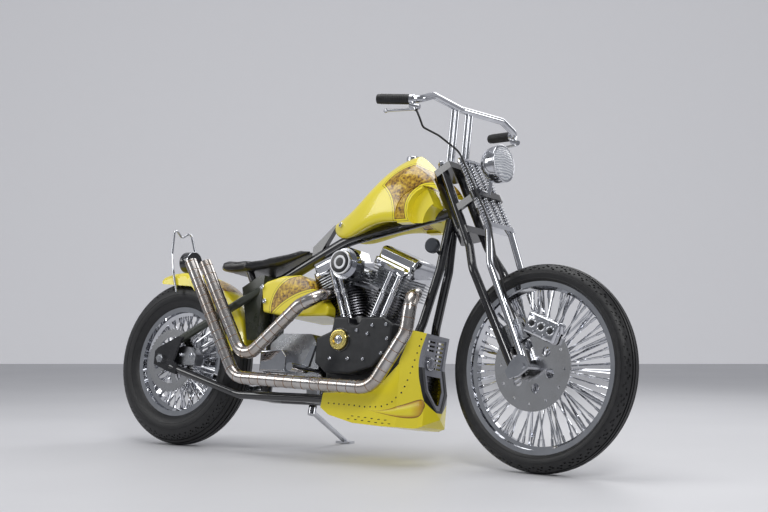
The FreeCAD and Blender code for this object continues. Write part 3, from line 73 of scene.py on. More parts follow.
steer_axis = Vector(joints["steering"]["axis"])
rear_axis = Vector(joints["rear_wheel_spin"]["axis"])
front_axis = Vector(joints["front_wheel_spin"]["axis"])
lean = turned_frame(Vector((0, 1, 0)), Vector((-math.sin(RAKE), 0, math.cos(RAKE))), rear_axis, steer_axis)
rear_axle = Vector(joints["rear_wheel_spin"]["pos_m"])
BIKE = Matrix.Translation(rear_axle - lean @ Vector((0, 0, REAR_AXLE_HEIGHT))) @ lean.to_4x4()
fork_turn = Matrix((front_axis.cross(steer_axis), front_axis, steer_axis)).transposed()
FORK = Matrix.Translation(Vector(joints["steering"]["pos_m"])) @ fork_turn.to_4x4()
front_axle = FORK @ Vector((FRONT_AXLE_AHEAD, 0, 0))
REAR_WHEEL = Matrix.Translation(rear_axle) @ lean.to_4x4()
FRONT_WHEEL = Matrix.Translation(front_axle) @ fork_turn.to_4x4()


# Camera at the photograph's angle, placed from the rear axle
CAMERA_FROM_AXLE = Vector((3.4731, -3.6626, 0.1937))
CAMERA_HEADING = 124.36
CAMERA_RISE = 2.73
CAMERA_LENS = 57.52
camera = bpy.data.objects.new("camera", bpy.data.cameras.new("camera"))
bpy.context.scene.collection.objects.link(camera)
camera.location = rear_axle + CAMERA_FROM_AXLE
camera.data.sensor_width = 36.0
camera.data.lens = CAMERA_LENS
camera.rotation_euler = (math.radians(90 + CAMERA_RISE), 0, math.radians(CAMERA_HEADING - 90))
camera.data.clip_end = 60
bpy.context.scene.camera = camera


# Node helpers
def socket_value(node, name, value):
    """Sets one input, or links it when the value is another node's output."""
    if isinstance(value, bpy.types.NodeSocket):
        node.id_data.links.new(value, node.inputs[name])
    else:
        node.inputs[name].default_value = value


def add(tree, kind, inputs=None, **settings):
    """A node with its settings and inputs."""
    node = tree.nodes.new("ShaderNode" + kind)
    for name, value in settings.items():
        setattr(node, name, value)
    for name, value in (inputs or {}).items():
        socket_value(node, name, value)
    return node


def sums(tree, operation, *values):
    """The result of one arithmetic step."""
    node = tree.nodes.new("ShaderNodeMath")
    node.operation = operation
    for i, value in enumerate(values):
        socket_value(node, i, value)
    return node.outputs[0]


def blend_colour(tree, share, first, second):
    """The mix of two colours."""
    node = tree.nodes.new("ShaderNodeMix")
    node.data_type = "RGBA"
    for place, value in ((0, share), (6, first), (7, second)):
        socket_value(node, place, value)
    return node.outputs[2]


def spread(tree, value, low, high, new_low, new_high):
    """A value stretched from one range to another."""
    node = add(tree, "MapRange", {"Value": value, "From Min": low, "From Max": high})
    socket_value(node, "To Min", new_low)
    socket_value(node, "To Max", new_high)
    return node.outputs["Result"]


def new_group(name, inputs, outputs):
    """A shader group with named inputs and outputs."""
    group = bpy.data.node_groups.new(name, "ShaderNodeTree")
    for label, kind, value in inputs:
        entry = group.interface.new_socket(name=label, in_out="INPUT", socket_type="NodeSocket" + kind)
        entry.default_value = value
    for label, kind in outputs:
        group.interface.new_socket(name=label, in_out="OUTPUT", socket_type="NodeSocket" + kind)
    return group, group.nodes.new("NodeGroupInput"), group.nodes.new("NodeGroupOutput")


def make_worn_surface():
    """Colour, gloss and small unevenness that change over a used surface; on the chrome the darker colour
    patches are painted reflection.
    """
    group, given, result = new_group(
        "worn_surface",
        [
            ("Base", "Color", (0.5, 0.5, 0.5, 1)),
            ("Soil", "Color", (0.1, 0.1, 0.1, 1)),
            ("Amount", "Float", 0.2),
            ("Scale", "Float", 20.0),
            ("Gloss", "Float", 0.3),
            ("Gloss Spread", "Float", 0.1),
            ("Bump", "Float", 0.1),
            ("Grain", "Float", 220.0),
        ],
        [("Color", "Color"), ("Roughness", "Float"), ("Normal", "Vector")],
    )
    place = add(group, "TexCoord").outputs["Object"]
    asked = given.outputs
    patches = add(
        group, "TexNoise", {"Vector": place, "Scale": asked["Scale"], "Detail": 6.0, "Roughness": 0.62}
    )
    grain = add(
        group, "TexNoise", {"Vector": place, "Scale": asked["Grain"], "Detail": 4.0, "Roughness": 0.55}
    )
    share = spread(group, patches.outputs["Fac"], 0.42, 0.72, 0.0, asked["Amount"])
    colour = blend_colour(group, share, asked["Base"], asked["Soil"])
    rough = sums(group, "MULTIPLY_ADD", patches.outputs["Fac"], asked["Gloss Spread"], asked["Gloss"])
    bump = add(
        group, "Bump", {"Strength": asked["Bump"], "Distance": 0.0006, "Height": grain.outputs["Fac"]}
    )
    group.links.new(colour, result.inputs["Color"])
    group.links.new(rough, result.inputs["Roughness"])
    group.links.new(bump.outputs["Normal"], result.inputs["Normal"])
    return group


def make_gold_leaf():
    """Crumpled gold leaf under varnish, from dark brown to bright gold."""
    group, given, result = new_group(
        "gold_leaf", [("Scale", "Float", 26.0), ("Warmth", "Float", 0.5)], [("Color", "Color")]
    )
    place = add(group, "TexCoord").outputs["Object"]
    cloud = add(group, "TexNoise", {
        "Vector": place, "Scale": given.outputs["Scale"], "Detail": 8.0, "Roughness": 0.7, "Distortion": 1.6,
    })
    fine = sums(group, "MULTIPLY", given.outputs["Scale"], 4.0)
    flake = add(group, "TexVoronoi", {"Vector": place, "Scale": fine})
    tone = sums(group, "MULTIPLY_ADD", flake.outputs["Distance"], 0.22, cloud.outputs["Fac"])
    tone = sums(group, "SUBTRACT", tone, sums(group, "MULTIPLY", given.outputs["Warmth"], 0.12))
    ramp = add(group, "ValToRGB", {"Fac": tone})
    dark, bright = ramp.color_ramp.elements
    dark.position = 0.40
    dark.color = (0.035, 0.012, 0.003, 1)
    bright.position = 0.72
    bright.color = (0.80, 0.56, 0.05, 1)
    middle = ramp.color_ramp.elements.new(0.53)
    middle.color = (0.36, 0.19, 0.012, 1)
    group.links.new(ramp.outputs["Color"], result.inputs["Color"])
    return group


def bike_place(tree):
    """Coordinates in the upright bike's own frame, inside a group or a material."""
    place = add(tree, "TexCoord").outputs["Object"]
    upright = add(
        tree, "Mapping",
        {"Vector": place, "Location": BIKE.to_translation(), "Rotation": BIKE.to_euler("XYZ")},
        vector_type="TEXTURE",
    )
    return upright.outputs["Vector"]


# Half the width of the stripe on a panel's edge, and of a finer one outside it
EDGE_STRIPE = 0.0012
FINE_STRIPE = 0.0007
FINE_STRIPE_OUT = 0.0085


def make_leaf_panel():
    """A panel in the side view, inside one circle, outside two and above a level, with pinstripes."""
    group, given, result = new_group(
        "leaf_panel",
        [
            ("Outer", "Vector", (0, 0, 0)),
            ("Outer Radius", "Float", 0.2),
            ("Inner", "Vector", (0, 0, 0)),
            ("Inner Radius", "Float", 0.1),
            ("Side", "Vector", (0, 0, 0)),
            ("Side Radius", "Float", 0.0),
            ("Floor", "Float", -1.0),
        ],
        [("Panel", "Float"), ("Stripe", "Float")],
    )
    flat = add(group, "VectorMath", {0: bike_place(group), 1: (1, 0, 1)}, operation="MULTIPLY").outputs[0]
    depths = []
    for centre, sign in (("Outer", 1.0), ("Inner", -1.0), ("Side", -1.0)):
        away = add(group, "VectorMath", {0: flat, 1: given.outputs[centre]}, operation="DISTANCE")
        depth = sums(group, "SUBTRACT", given.outputs[centre + " Radius"], away.outputs["Value"])
        depths.append(sums(group, "MULTIPLY", depth, sign))
    height = add(group, "SeparateXYZ", {"Vector": flat}).outputs["Z"]
    depths.append(sums(group, "SUBTRACT", height, given.outputs["Floor"]))
    inside = depths[0]
    for depth in depths[1:]:
        inside = sums(group, "MINIMUM", inside, depth)
    panel = sums(group, "GREATER_THAN", inside, 0.0)
    edge = sums(group, "COMPARE", inside, 0.0, EDGE_STRIPE)
    line = sums(group, "COMPARE", inside, -FINE_STRIPE_OUT, FINE_STRIPE)
    group.links.new(panel, result.inputs["Panel"])
    group.links.new(sums(group, "MAXIMUM", edge, line), result.inputs["Stripe"])
    return group


WORN = make_worn_surface()
GOLD_LEAF = make_gold_leaf()
LEAF_PANEL = make_leaf_panel()


def grouped(tree, group, **values):
    """A group node with its values."""
    node = tree.nodes.new("ShaderNodeGroup")
    node.node_tree = group
    for name, value in values.items():
        socket_value(node, name.replace("_", " "), value)
    return node


def new_material(name, **sockets):
    """A material with a plain shader, and the plain values of its sockets."""
    made = bpy.data.materials.new(name)
    made.use_nodes = True
    shader = made.node_tree.nodes["Principled BSDF"]
    for socket, value in sockets.items():
        shader.inputs[socket.replace("_", " ")].default_value = value
    return made, made.node_tree, shader


def worn_material(name, base, soil_and_reflection, amount, scale, gloss, gloss_spread, bump, grain, **sockets):
    """A material whose colour, gloss and grain come from the worn surface."""
    made, tree, shader = new_material(name, **sockets)
    worn = grouped(
        tree, WORN, Base=(*base, 1), Soil=(*soil_and_reflection, 1), Amount=amount, Scale=scale,
        Gloss=gloss, Gloss_Spread=gloss_spread, Bump=bump, Grain=grain,
    )
    for out, target in (("Color", "Base Color"), ("Roughness", "Roughness"), ("Normal", "Normal")):
        tree.links.new(worn.outputs[out], shader.inputs[target])
    return made, tree, shader, worn


def finish(*looks, **sockets):
    """The material alone, for a finish with no pattern of its own."""
    return worn_material(*looks, **sockets)[0]


# Each finish has its colour, its soiled colour and how much of it, the patches' scale, the gloss and
# its spread, and the strength and scale of the grain; on the chrome the soiled colour is painted reflection
# Painted reflection: the chrome's darker bluish-grey patches stand for the dark reflections of a dark room.
CHROME = finish(
    "polished_chrome", (0.66, 0.67, 0.70), (0.34, 0.35, 0.39), 0.5, 9, 0.03, 0.07, 0.03, 160, Metallic=1.0
)
BLACK_METAL = finish(
    "gloss_black_frame", (0.006, 0.006, 0.008), (0.03, 0.03, 0.034), 0.4, 14, 0.12, 0.18, 0.05, 300,
    Coat_Weight=0.8, Coat_Roughness=0.06,
)
CASE_BLACK = finish(
    "satin_black_case", (0.010, 0.011, 0.013), (0.030, 0.030, 0.034), 0.5, 30, 0.26, 0.2, 0.3, 700
)
FIN_BLACK = finish(
    "black_finned_alloy", (0.20, 0.20, 0.215), (0.05, 0.05, 0.055), 0.7, 40, 0.18, 0.2, 0.2, 500, Metallic=1.0
)
ALLOY = finish(
    "cast_alloy", (0.42, 0.43, 0.45), (0.16, 0.16, 0.17), 0.7, 26, 0.16, 0.26, 0.25, 420, Metallic=1.0
)
BRASS = finish(
    "polished_brass", (0.80, 0.66, 0.22), (0.45, 0.32, 0.10), 0.6, 22, 0.12, 0.2, 0.1, 300, Metallic=1.0
)
STAINLESS = finish(
    "brushed_stainless", (0.52, 0.50, 0.485), (0.34, 0.25, 0.18), 0.6, 9, 0.13, 0.16, 0.2, 600, Metallic=1.0
)
WELD = finish(
    "heat_tinted_weld", (0.30, 0.17, 0.09), (0.10, 0.05, 0.04), 0.8, 60, 0.26, 0.2, 0.4, 900, Metallic=1.0
)
STEEL = finish(
    "bright_steel", (0.54, 0.55, 0.57), (0.26, 0.26, 0.28), 0.6, 18, 0.14, 0.22, 0.15, 400, Metallic=1.0
)
DISC_STEEL = finish(
    "polished_disc", (0.68, 0.68, 0.69), (0.44, 0.43, 0.42), 0.5, 16, 0.1, 0.14, 0.12, 500, Metallic=1.0
)
RUBBER = finish(
    "black_rubber", (0.008, 0.008, 0.009), (0.02, 0.02, 0.021), 0.6, 40, 0.34, 0.25, 0.4, 900
)
OLIVE = finish(
    "olive_grey_paint", (0.036, 0.042, 0.030), (0.016, 0.018, 0.014), 0.5, 12, 0.2, 0.16, 0.1, 300,
    Coat_Weight=0.4, Coat_Roughness=0.1,
)
LEATHER = finish(
    "black_leather", (0.010, 0.010, 0.012), (0.026, 0.024, 0.024), 0.6, 30, 0.24, 0.22, 0.8, 380,
    Coat_Weight=0.25, Coat_Roughness=0.2,
)
DARK_ENAMEL = finish(
    "black_enamel", (0.006, 0.006, 0.007), (0.02, 0.02, 0.02), 0.4, 60, 0.2, 0.1, 0.1, 300
)
WHITE_ENAMEL = finish(
    "white_enamel", (0.80, 0.80, 0.82), (0.62, 0.62, 0.63), 0.4, 60, 0.15, 0.1, 0.05, 300, Coat_Weight=0.6
)
PANEL_GREY = finish(
    "satin_grey_panel", (0.26, 0.265, 0.30), (0.14, 0.14, 0.16), 0.5, 20, 0.22, 0.2, 0.15, 300, Metallic=0.5
)
HORN_GREY = finish(
    "smoked_horn", (0.045, 0.05, 0.06), (0.02, 0.02, 0.025), 0.5, 24, 0.18, 0.15, 0.1, 300, Metallic=0.5
)
YELLOW = (0.86, 0.73, 0.028)
YELLOW_SHADE = (0.74, 0.58, 0.02)
STRIPE = (0.10, 0.02, 0.005, 1)


def yellow_lacquer(name, panel=None):
    """Bright yellow lacquer, with a gold-leaf panel laid in it where one is given."""
    made, tree, shader, worn = worn_material(
        name, YELLOW, YELLOW_SHADE, 0.35, 5, 0.26, 0.1, 0.02, 200,
        Coat_Weight=0.55, Coat_Roughness=0.04,
    )
    colour = worn.outputs["Color"]
    if panel:
        shape = grouped(tree, LEAF_PANEL, **panel)
        leaf = grouped(tree, GOLD_LEAF)
        colour = blend_colour(tree, shape.outputs["Panel"], colour, leaf.outputs["Color"])
        colour = blend_colour(tree, shape.outputs["Stripe"], colour, STRIPE)
    tree.links.new(colour, shader.inputs["Base Color"])
    return made, tree, shader, colour


def yellow_paint(name, **panel):
    """The yellow lacquer's material with one panel."""
    return yellow_lacquer(name, panel)[0]


TANK_PAINT = yellow_paint(
    "yellow_tank_paint", Outer=(1.142, 0, 0.870), Outer_Radius=0.191, Inner=(1.184, 0, 0.884),
    Inner_Radius=0.099, Side=(0.905, 0, 0.865), Side_Radius=0.142, Floor=0.852,
)
OIL_TANK_PAINT = yellow_paint(
    "yellow_oil_tank_paint", Outer=(0.640, 0, 0.530), Outer_Radius=0.120,
    Inner=(0.740, 0, 0.300), Inner_Radius=0.306,
)
FENDER_PAINT = yellow_paint(
    "yellow_fender_paint", Outer=(0.24, 0, 0.60), Outer_Radius=0.11,
    Inner=(0.29, 0, 0.54), Inner_Radius=0.10,
)

# The golden drop on the fairing's side, in metres of the bike's frame
DROP_REAR = 0.980
DROP_FRONT = 1.199
DROP_LEVEL = 0.173
DROP_HALF = 0.046
DROP_RISE = 0.026
DROP_DIP = 0.0255
DROP_SWELL = 0.012
# The fairing's front is inside a circle, and grey above a level
FRONT_CENTRE = (1.481, 0.0, 0.341)
FRONT_RADIUS = 0.311
FRONT_GREY_ABOVE = 0.330


def fairing_paint():
    """The fairing's yellow, with a golden drop on its side darkened to brown towards its rim and head end as
    painted shade of a raised drop, and a grey and black front.
    """
    made, tree, shader, colour = yellow_lacquer("yellow_fairing_paint")
    parts = add(tree, "SeparateXYZ", {"Vector": bike_place(tree)})
    along = spread(tree, parts.outputs["X"], DROP_REAR, DROP_FRONT, 0.0, 1.0)
    swell = sums(tree, "POWER", along, 2.0)
    blunt = sums(tree, "POWER", sums(tree, "SUBTRACT", 1.0, sums(tree, "POWER", along, 10.0)), 0.5)
    half = sums(tree, "MULTIPLY_ADD", sums(tree, "MULTIPLY", swell, blunt), DROP_HALF, 0.00005)
    rise = sums(tree, "MULTIPLY", sums(tree, "POWER", along, 4.0), DROP_RISE)
    sag = sums(tree, "MULTIPLY", along, sums(tree, "SUBTRACT", 1.0, along))
    dip = sums(tree, "MULTIPLY", sag, DROP_DIP)
    middle = sums(tree, "ADD", DROP_LEVEL, sums(tree, "SUBTRACT", rise, dip))
    offset = sums(tree, "DIVIDE", sums(tree, "SUBTRACT", parts.outputs["Z"], middle), half)
    away = sums(tree, "ABSOLUTE", offset)
    started = sums(tree, "GREATER_THAN", along, 0.02)
    inside = sums(tree, "MULTIPLY", sums(tree, "LESS_THAN", away, 1.0), started)
    # Painted shade: towards its rim and its head end the drop darkens to brown, as a raised drop would be
    # shaded there.
    rim = spread(tree, away, 0.55, 1.0, 0.0, 1.0)
    head = spread(tree, along, 0.80, 0.99, 0.0, 0.8)
    shade = sums(tree, "MULTIPLY", sums(tree, "MAXIMUM", rim, head), inside)
    gold_and_painted_shade = add(tree, "ValToRGB", {"Fac": shade})
    gold_and_painted_shade.color_ramp.elements[0].color = (*YELLOW, 1)
    gold_and_painted_shade.color_ramp.elements[1].color = (0.16, 0.045, 0.004, 1)
    mid = gold_and_painted_shade.color_ramp.elements.new(0.55)
    mid.color = (0.62, 0.36, 0.02, 1)
    painted = blend_colour(tree, inside, colour, gold_and_painted_shade.outputs["Color"])
    flat = add(tree, "CombineXYZ", {"X": parts.outputs["X"], "Z": parts.outputs["Z"]})
    away_front = add(
        tree, "VectorMath", {0: flat.outputs["Vector"], 1: FRONT_CENTRE}, operation="DISTANCE"
    )
    front = sums(tree, "LESS_THAN", away_front.outputs["Value"], FRONT_RADIUS)
    upper = sums(tree, "GREATER_THAN", parts.outputs["Z"], FRONT_GREY_ABOVE)
    front_colour = blend_colour(tree, upper, (0.010, 0.010, 0.012, 1), (0.20, 0.205, 0.235, 1))
    tree.links.new(blend_colour(tree, front, painted, front_colour), shader.inputs["Base Color"])
    dome = sums(tree, "SUBTRACT", 1.0, sums(tree, "POWER", away, 2.0))
    height = sums(tree, "MULTIPLY", sums(tree, "MAXIMUM", dome, 0.0), sums(tree, "MULTIPLY", swell, inside))
    bump = add(tree, "Bump", {"Strength": 0.8, "Distance": DROP_SWELL, "Height": height})
    tree.links.new(bump.outputs["Normal"], shader.inputs["Normal"])
    return made


FAIRING_PAINT = fairing_paint()


def make_glass(name, clear, shaded, ribs_scale):
    """Ribbed lamp glass."""
    made, tree, shader = new_material(
        name, Roughness=0.06, IOR=1.5, Metallic=0.0, Transmission_Weight=0.3
    )
    place = add(tree, "TexCoord").outputs["Object"]
    turned = add(tree, "Mapping", {"Vector": place, "Rotation": FORK.to_euler("XYZ")}, vector_type="TEXTURE")
    ribs = add(
        tree, "TexWave",
        {"Vector": turned.outputs["Vector"], "Scale": ribs_scale, "Distortion": 5.0, "Detail": 2.0},
        bands_direction="Z",
    )
    tone = spread(tree, ribs.outputs["Fac"], 0.15, 0.85, 0.1, 0.95)
    shade = blend_colour(tree, tone, shaded, clear)
    tree.links.new(shade, shader.inputs["Base Color"])
    bump = add(tree, "Bump", {"Strength": 0.5, "Distance": 0.002, "Height": ribs.outputs["Fac"]})
    tree.links.new(bump.outputs["Normal"], shader.inputs["Normal"])
    return made


GLASS = make_glass("lamp_glass", (0.90, 0.92, 0.95, 1), (0.40, 0.42, 0.48, 1), 38.0)
RED_GLASS = make_glass("red_lamp_glass", (0.60, 0.02, 0.015, 1), (0.22, 0.006, 0.006, 1), 60.0)


FINISHES = {
    BLACK_METAL: [
        "frame_backbone", "frame_downtubes", "frame_rails", "saddle_bracket", "stand_bracket", "rigid_legs",
        "tail_lamp",
    ],
    OLIVE: ["frame_stays"],
    CASE_BLACK: ["gearcase_cover", "crankcase", "primary_cover"],
    FIN_BLACK: ["cylinders", "cooler"],
    ALLOY: ["heads", "carburettor", "gearbox", "front_caliper", "rear_caliper"],
    CHROME: [
        "rocker_boxes", "pushrod_tubes", "air_cleaner", "gearbox_cover", "fuel_cap", "sissy_bar",
        "foot_controls", "side_stand", "spring_legs", "rockers", "risers", "handlebar", "levers",
        "headlamp", "front_rim", "rear_rim", "fork_springs", "front_hub", "rear_hub",
    ],
    STEEL: ["drive_chain", "rear_axle", "rear_sprocket"],
    DISC_STEEL: ["rear_disc", "front_disc"],
    BRASS: ["timing_cap"],
    STAINLESS: ["exhaust_pipes"],
    TANK_PAINT: ["fuel_tank"],
    OIL_TANK_PAINT: ["oil_tank"],
    FENDER_PAINT: ["rear_fender"],
    FAIRING_PAINT: ["chin_fairing"],
    PANEL_GREY: ["fairing_grille"],
    HORN_GREY: ["horn"],
    LEATHER: ["saddle"],
    RUBBER: ["grips", "brake_hose", "rear_tyre", "front_tyre"],
}
for made, names in FINISHES.items():
    for name in names:
        nodes[name].data.materials.clear()
        nodes[name].data.materials.append(made)


# Bodies that pieces ride on, each with the frame that its pieces are drawn in
ON_BIKE = ("chassis", BIKE)
ON_FORK = ("fork", FORK)
AS_DRAWN = ("chassis", Matrix.Identity(4))

# Directions, and the turn that lays a primitive's axis across the bike
RIGHT = Vector((0, -1, 0))
LEFT = Vector((0, 1, 0))
UP = Vector((0, 0, 1))
SIDEWAYS = (math.pi / 2, 0, 0)


# Modelling helpers
def start_fresh():
    """Leaves edit mode and selects nothing."""
    if bpy.context.object and bpy.context.object.mode != "OBJECT":
        bpy.ops.object.mode_set(mode="OBJECT")
    bpy.ops.object.select_all(action="DESELECT")


def choose(piece):
    """Selects one piece alone and makes it active."""
    start_fresh()
    piece.select_set(True)
    bpy.context.view_layer.objects.active = piece


def open_all():
    """Opens the active piece in edit mode with all of it selected."""
    bpy.ops.object.mode_set(mode="EDIT")
    bpy.ops.mesh.select_all(action="SELECT")


def close():
    """Leaves edit mode."""
    bpy.ops.object.mode_set(mode="OBJECT")


def pick(piece, wanted):
    """Opens the active piece in edit mode with only the wanted faces selected."""
    bpy.ops.object.mode_set(mode="EDIT")
    bpy.ops.mesh.select_mode(type="FACE")
    bpy.ops.mesh.select_all(action="DESELECT")
    close()
    for face in piece.data.polygons:
        face.select = wanted(face)
    bpy.ops.object.mode_set(mode="EDIT")


def on_top(face):
    """Whether a face looks up."""
    return face.normal.z > 0.9


def on_ends(face):
    """Whether a face looks up or down."""
    return abs(face.normal.z) > 0.9


def settle(piece, name, made, on, smooth=32):
    """Bakes a piece's place into its mesh, dresses it and puts it on its body."""
    body, placing = on
    bpy.context.view_layer.update()
    piece.data.transform(placing @ piece.matrix_world)
    piece.matrix_world = Matrix.Identity(4)
    piece.name = name
    piece.data.name = name
    piece.data.materials.clear()
    piece.data.materials.append(made)
    choose(piece)
    bpy.ops.object.shade_smooth_by_angle(angle=math.radians(smooth))
    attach(piece, body)
    return piece


def apply_all(piece):
    """Applies the piece's modifiers."""
    choose(piece)
    for modifier in list(piece.modifiers):
        bpy.ops.object.modifier_apply(modifier=modifier.name)


def joined(pieces):
    """Several pieces as one mesh."""
    choose(pieces[0])
    for piece in pieces[1:]:
        piece.select_set(True)
    if len(pieces) > 1:
        bpy.ops.object.join()
    return pieces[0]


def duplicate(piece):
    """A copy with its own mesh."""
    other = piece.copy()
    other.data = piece.data.copy()
    bpy.context.scene.collection.objects.link(other)
    return other


def copies(piece, placings):
    """Copies of a piece, joined to one."""
    made = []
    for placing in placings:
        other = duplicate(piece)
        other.matrix_world = placing
        made.append(other)
    bpy.data.objects.remove(piece)
    bpy.context.view_layer.update()
    return joined(made)


def facing(place, direction):
    """A placing at a point with its z axis along a direction."""
    turn = Vector(direction).to_track_quat("Z", "Y").to_matrix().to_4x4()
    return Matrix.Translation(place) @ turn


def set_out(piece, name, spots, made, on, smooth):
    """Copies of a piece at its spots, each facing its own way, as one finished piece."""
    return settle(copies(piece, [facing(*spot) for spot in spots]), name, made, on, smooth)


def cylinder(sides, radius, depth, place=(0, 0, 0), turn=(0, 0, 0)):
    """A new cylinder with its place in its mesh."""
    start_fresh()
    bpy.ops.mesh.primitive_cylinder_add(
        vertices=sides, radius=radius, depth=depth, location=place, rotation=turn
    )
    bpy.ops.object.transform_apply(location=True, rotation=True)
    return bpy.context.object


def rounded_box(size, edge, segments):
    """A new box with rounded edges."""
    start_fresh()
    bpy.ops.mesh.primitive_cube_add(size=1)
    box = bpy.context.object
    box.scale = size
    bpy.ops.object.transform_apply(scale=True)
    open_all()
    bpy.ops.mesh.bevel(offset=edge, segments=segments)
    close()
    return box


def cut(piece, cutter, operation="DIFFERENCE"):
    """Cuts a piece with another, which is then removed."""
    trim = piece.modifiers.new("trim", "BOOLEAN")
    trim.operation = operation
    trim.object = cutter
    apply_all(piece)
    bpy.data.objects.remove(cutter)


def face_outwards():
    """Turns all faces of the open piece outwards."""
    bpy.ops.mesh.select_all(action="SELECT")
    bpy.ops.mesh.normals_make_consistent(inside=False)


def millimetres(*numbers):
    """A place given in millimetres, in metres."""
    return Vector(numbers) / 1000


def on_circle(radius, degrees, y=0.0):
    """A point on a circle about an axis that runs across the bike."""
    turn = math.radians(degrees)
    return Vector((radius * math.cos(turn), y, radius * math.sin(turn)))


def mirrored(spots):
    """Places and directions on the right, and the same on the left."""
    flip = Vector((1, -1, 1))
    both = []
    for place, out in spots:
        both += [(place, out), (place * flip, Vector(out) * flip)]
    return both


def walked(line, first, step):
    """Points and directions at even steps along a line of points."""
    spots = []
    behind = 0.0
    due = first
    for start, end in zip(line, line[1:]):
        run = (end - start).length
        while run > 0 and due <= behind + run:
            spots.append((start.lerp(end, (due - behind) / run), (end - start).normalized()))
            due += step
        behind += run
    return spots


def cap_screws(name, spots, radius, on=ON_BIKE):
    """Cap screws with sunk sockets, each facing its own way."""
    screw = cylinder(14, radius, radius, (0, 0, radius * 0.4))
    pick(screw, on_top)
    for thickness, depth in ((0.14, 0.14), (0.34, 0), (0.03, -0.55)):
        bpy.ops.mesh.inset(thickness=radius * thickness, depth=radius * depth)
    close()
    return set_out(screw, name, spots, CHROME, on, 35)


def acorn_nuts(name, spots, radius, on):
    """Domed six-sided nuts, each facing its own way."""
    nut = cylinder(6, radius, radius, (0, 0, radius * 0.5))
    pick(nut, on_top)
    bpy.ops.mesh.inset(thickness=radius * 0.10, depth=radius * 0.06)
    bpy.ops.mesh.subdivide(number_cuts=1)
    start_fresh()
    bpy.ops.mesh.primitive_uv_sphere_add(
        segments=20, ring_count=12, radius=radius * 0.74, location=(0, 0, radius * 1.02)
    )
    dome = bpy.context.object
    open_all()
    bpy.ops.mesh.bisect(plane_co=(0, 0, radius), plane_no=UP, use_fill=True, clear_inner=True)
    close()
    bpy.ops.object.transform_apply(location=True)
    return set_out(joined([nut, dome]), name, spots, CHROME, on, 35)


def rings(name, spots, major, minor, made, on=ON_BIKE, squash=1.0, around=32):
    """Round rings, each about its own direction."""
    start_fresh()
    bpy.ops.mesh.primitive_torus_add(
        major_radius=major, minor_radius=minor, major_segments=around, minor_segments=10
    )
    ring = bpy.context.object
    open_all()
    bpy.ops.transform.resize(value=(1, 1, squash))
    close()
    return set_out(ring, name, spots, made, on, 60)


def domed_discs(name, spots, radius, height, made, on=ON_BIKE, around=32):
    """Low domes with flat backs, each facing its own way."""
    start_fresh()
    bpy.ops.mesh.primitive_uv_sphere_add(segments=around, ring_count=max(8, around // 2), radius=radius)
    dome = bpy.context.object
    open_all()
    bpy.ops.mesh.bisect(plane_co=(0, 0, 0), plane_no=UP, use_fill=True, clear_inner=True)
    close()
    dome.scale = (1, 1, height / radius)
    bpy.ops.object.transform_apply(scale=True)
    return set_out(dome, name, spots, made, on, 50)


# The engine's axes
CRANK = millimetres(892, 0, 362)
V_HALF = math.radians(22.5)


def up_cylinder(side):
    """The direction up one cylinder."""
    return Vector((side * math.sin(V_HALF), 0, math.cos(V_HALF)))


# Tyres with grooves, cut shoulders and raised sidewall rings
CUT_EVERY = 5
GROOVE_DEPTH = 0.0035
RING_HEIGHT = 0.0012


def treaded_tyre(end, wheel, major, minor, widen, around, section, grooves, shoulder):
    """A round tyre whose grooves and shoulder cuts are sunk into its crown."""
    start_fresh()
    bpy.ops.mesh.primitive_torus_add(
        major_radius=major, minor_radius=minor, major_segments=around, minor_segments=section,
        rotation=SIDEWAYS,
    )
    tyre = bpy.context.object
    bpy.ops.object.transform_apply(rotation=True)
    open_all()
    bpy.ops.transform.resize(value=(1, widen, 1))
    close()

    def row(face):
        """How many faces away from the crown's middle a face lies."""
        centre = face.center
        turn = math.atan2(abs(centre.y) / widen, math.hypot(centre.x, centre.z) - major)
        return math.floor(turn / (2 * math.pi) * section)

    def sunk(face):
        """Whether a face is part of a groove or a shoulder cut."""
        turn = math.floor(math.atan2(face.center.z, face.center.x) / (2 * math.pi) * around)
        out = row(face)
        return out in grooves or (out in shoulder and (turn + 2 * out) % CUT_EVERY == 0)

    pick(tyre, sunk)
    bpy.ops.mesh.inset(thickness=0.0005, depth=-GROOVE_DEPTH)
    close()
    ring_rows = (section // 4 - 1, section // 4 + 3)
    pick(tyre, lambda face: row(face) in ring_rows)
    bpy.ops.mesh.inset(thickness=0.0006, depth=RING_HEIGHT)
    close()
    node = end + "_tyre"
    settle(tyre, node + "_treaded", RUBBER, (end + "_wheel", wheel))
    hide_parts(node)


treaded_tyre(
    "rear", REAR_WHEEL, major=0.2665, minor=0.0635, widen=1.02, around=330, section=66,
    grooves=(1, 4, 7), shoulder=range(8, 12),
)
treaded_tyre(
    "front", FRONT_WHEEL, major=0.3100, minor=0.0360, widen=1.24, around=340, section=48,
    grooves=(1, 3), shoulder=range(5, 9),
)


# Fork springs as real coils
SPRING_X = 0.142
SPRING_YS = (-0.066, -0.022, 0.022, 0.066)
COIL_RADIUS = 0.0095
WIRE = 0.0026


def coil_springs(name, low, high, turns):
    """Coil springs on the four rods, wound by the screw modifier."""
    start_fresh()
    bpy.ops.mesh.primitive_circle_add(
        vertices=8, radius=WIRE, location=(COIL_RADIUS, 0, 0), rotation=SIDEWAYS
    )
    coil = bpy.context.object
    bpy.ops.object.transform_apply(location=True, rotation=True)
    wind = coil.modifiers.new("wind", "SCREW")
    wind.angle = 2 * math.pi
    wind.screw_offset = (high - low - 2 * WIRE) / turns
    wind.iterations = turns
    wind.steps = 22
    wind.render_steps = 22
    wind.use_smooth_shade = True
    wind.use_normal_calculate = True
    apply_all(coil)
    places = [Matrix.Translation((SPRING_X, y, low + WIRE)) for y in SPRING_YS]
    return settle(copies(coil, places), name, CHROME, ON_FORK, 60)


lower_springs = coil_springs("lower_springs", 0.520, 0.630, 9)
coil_springs("upper_springs", 0.656, 0.775, 10)
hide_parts("fork_springs")


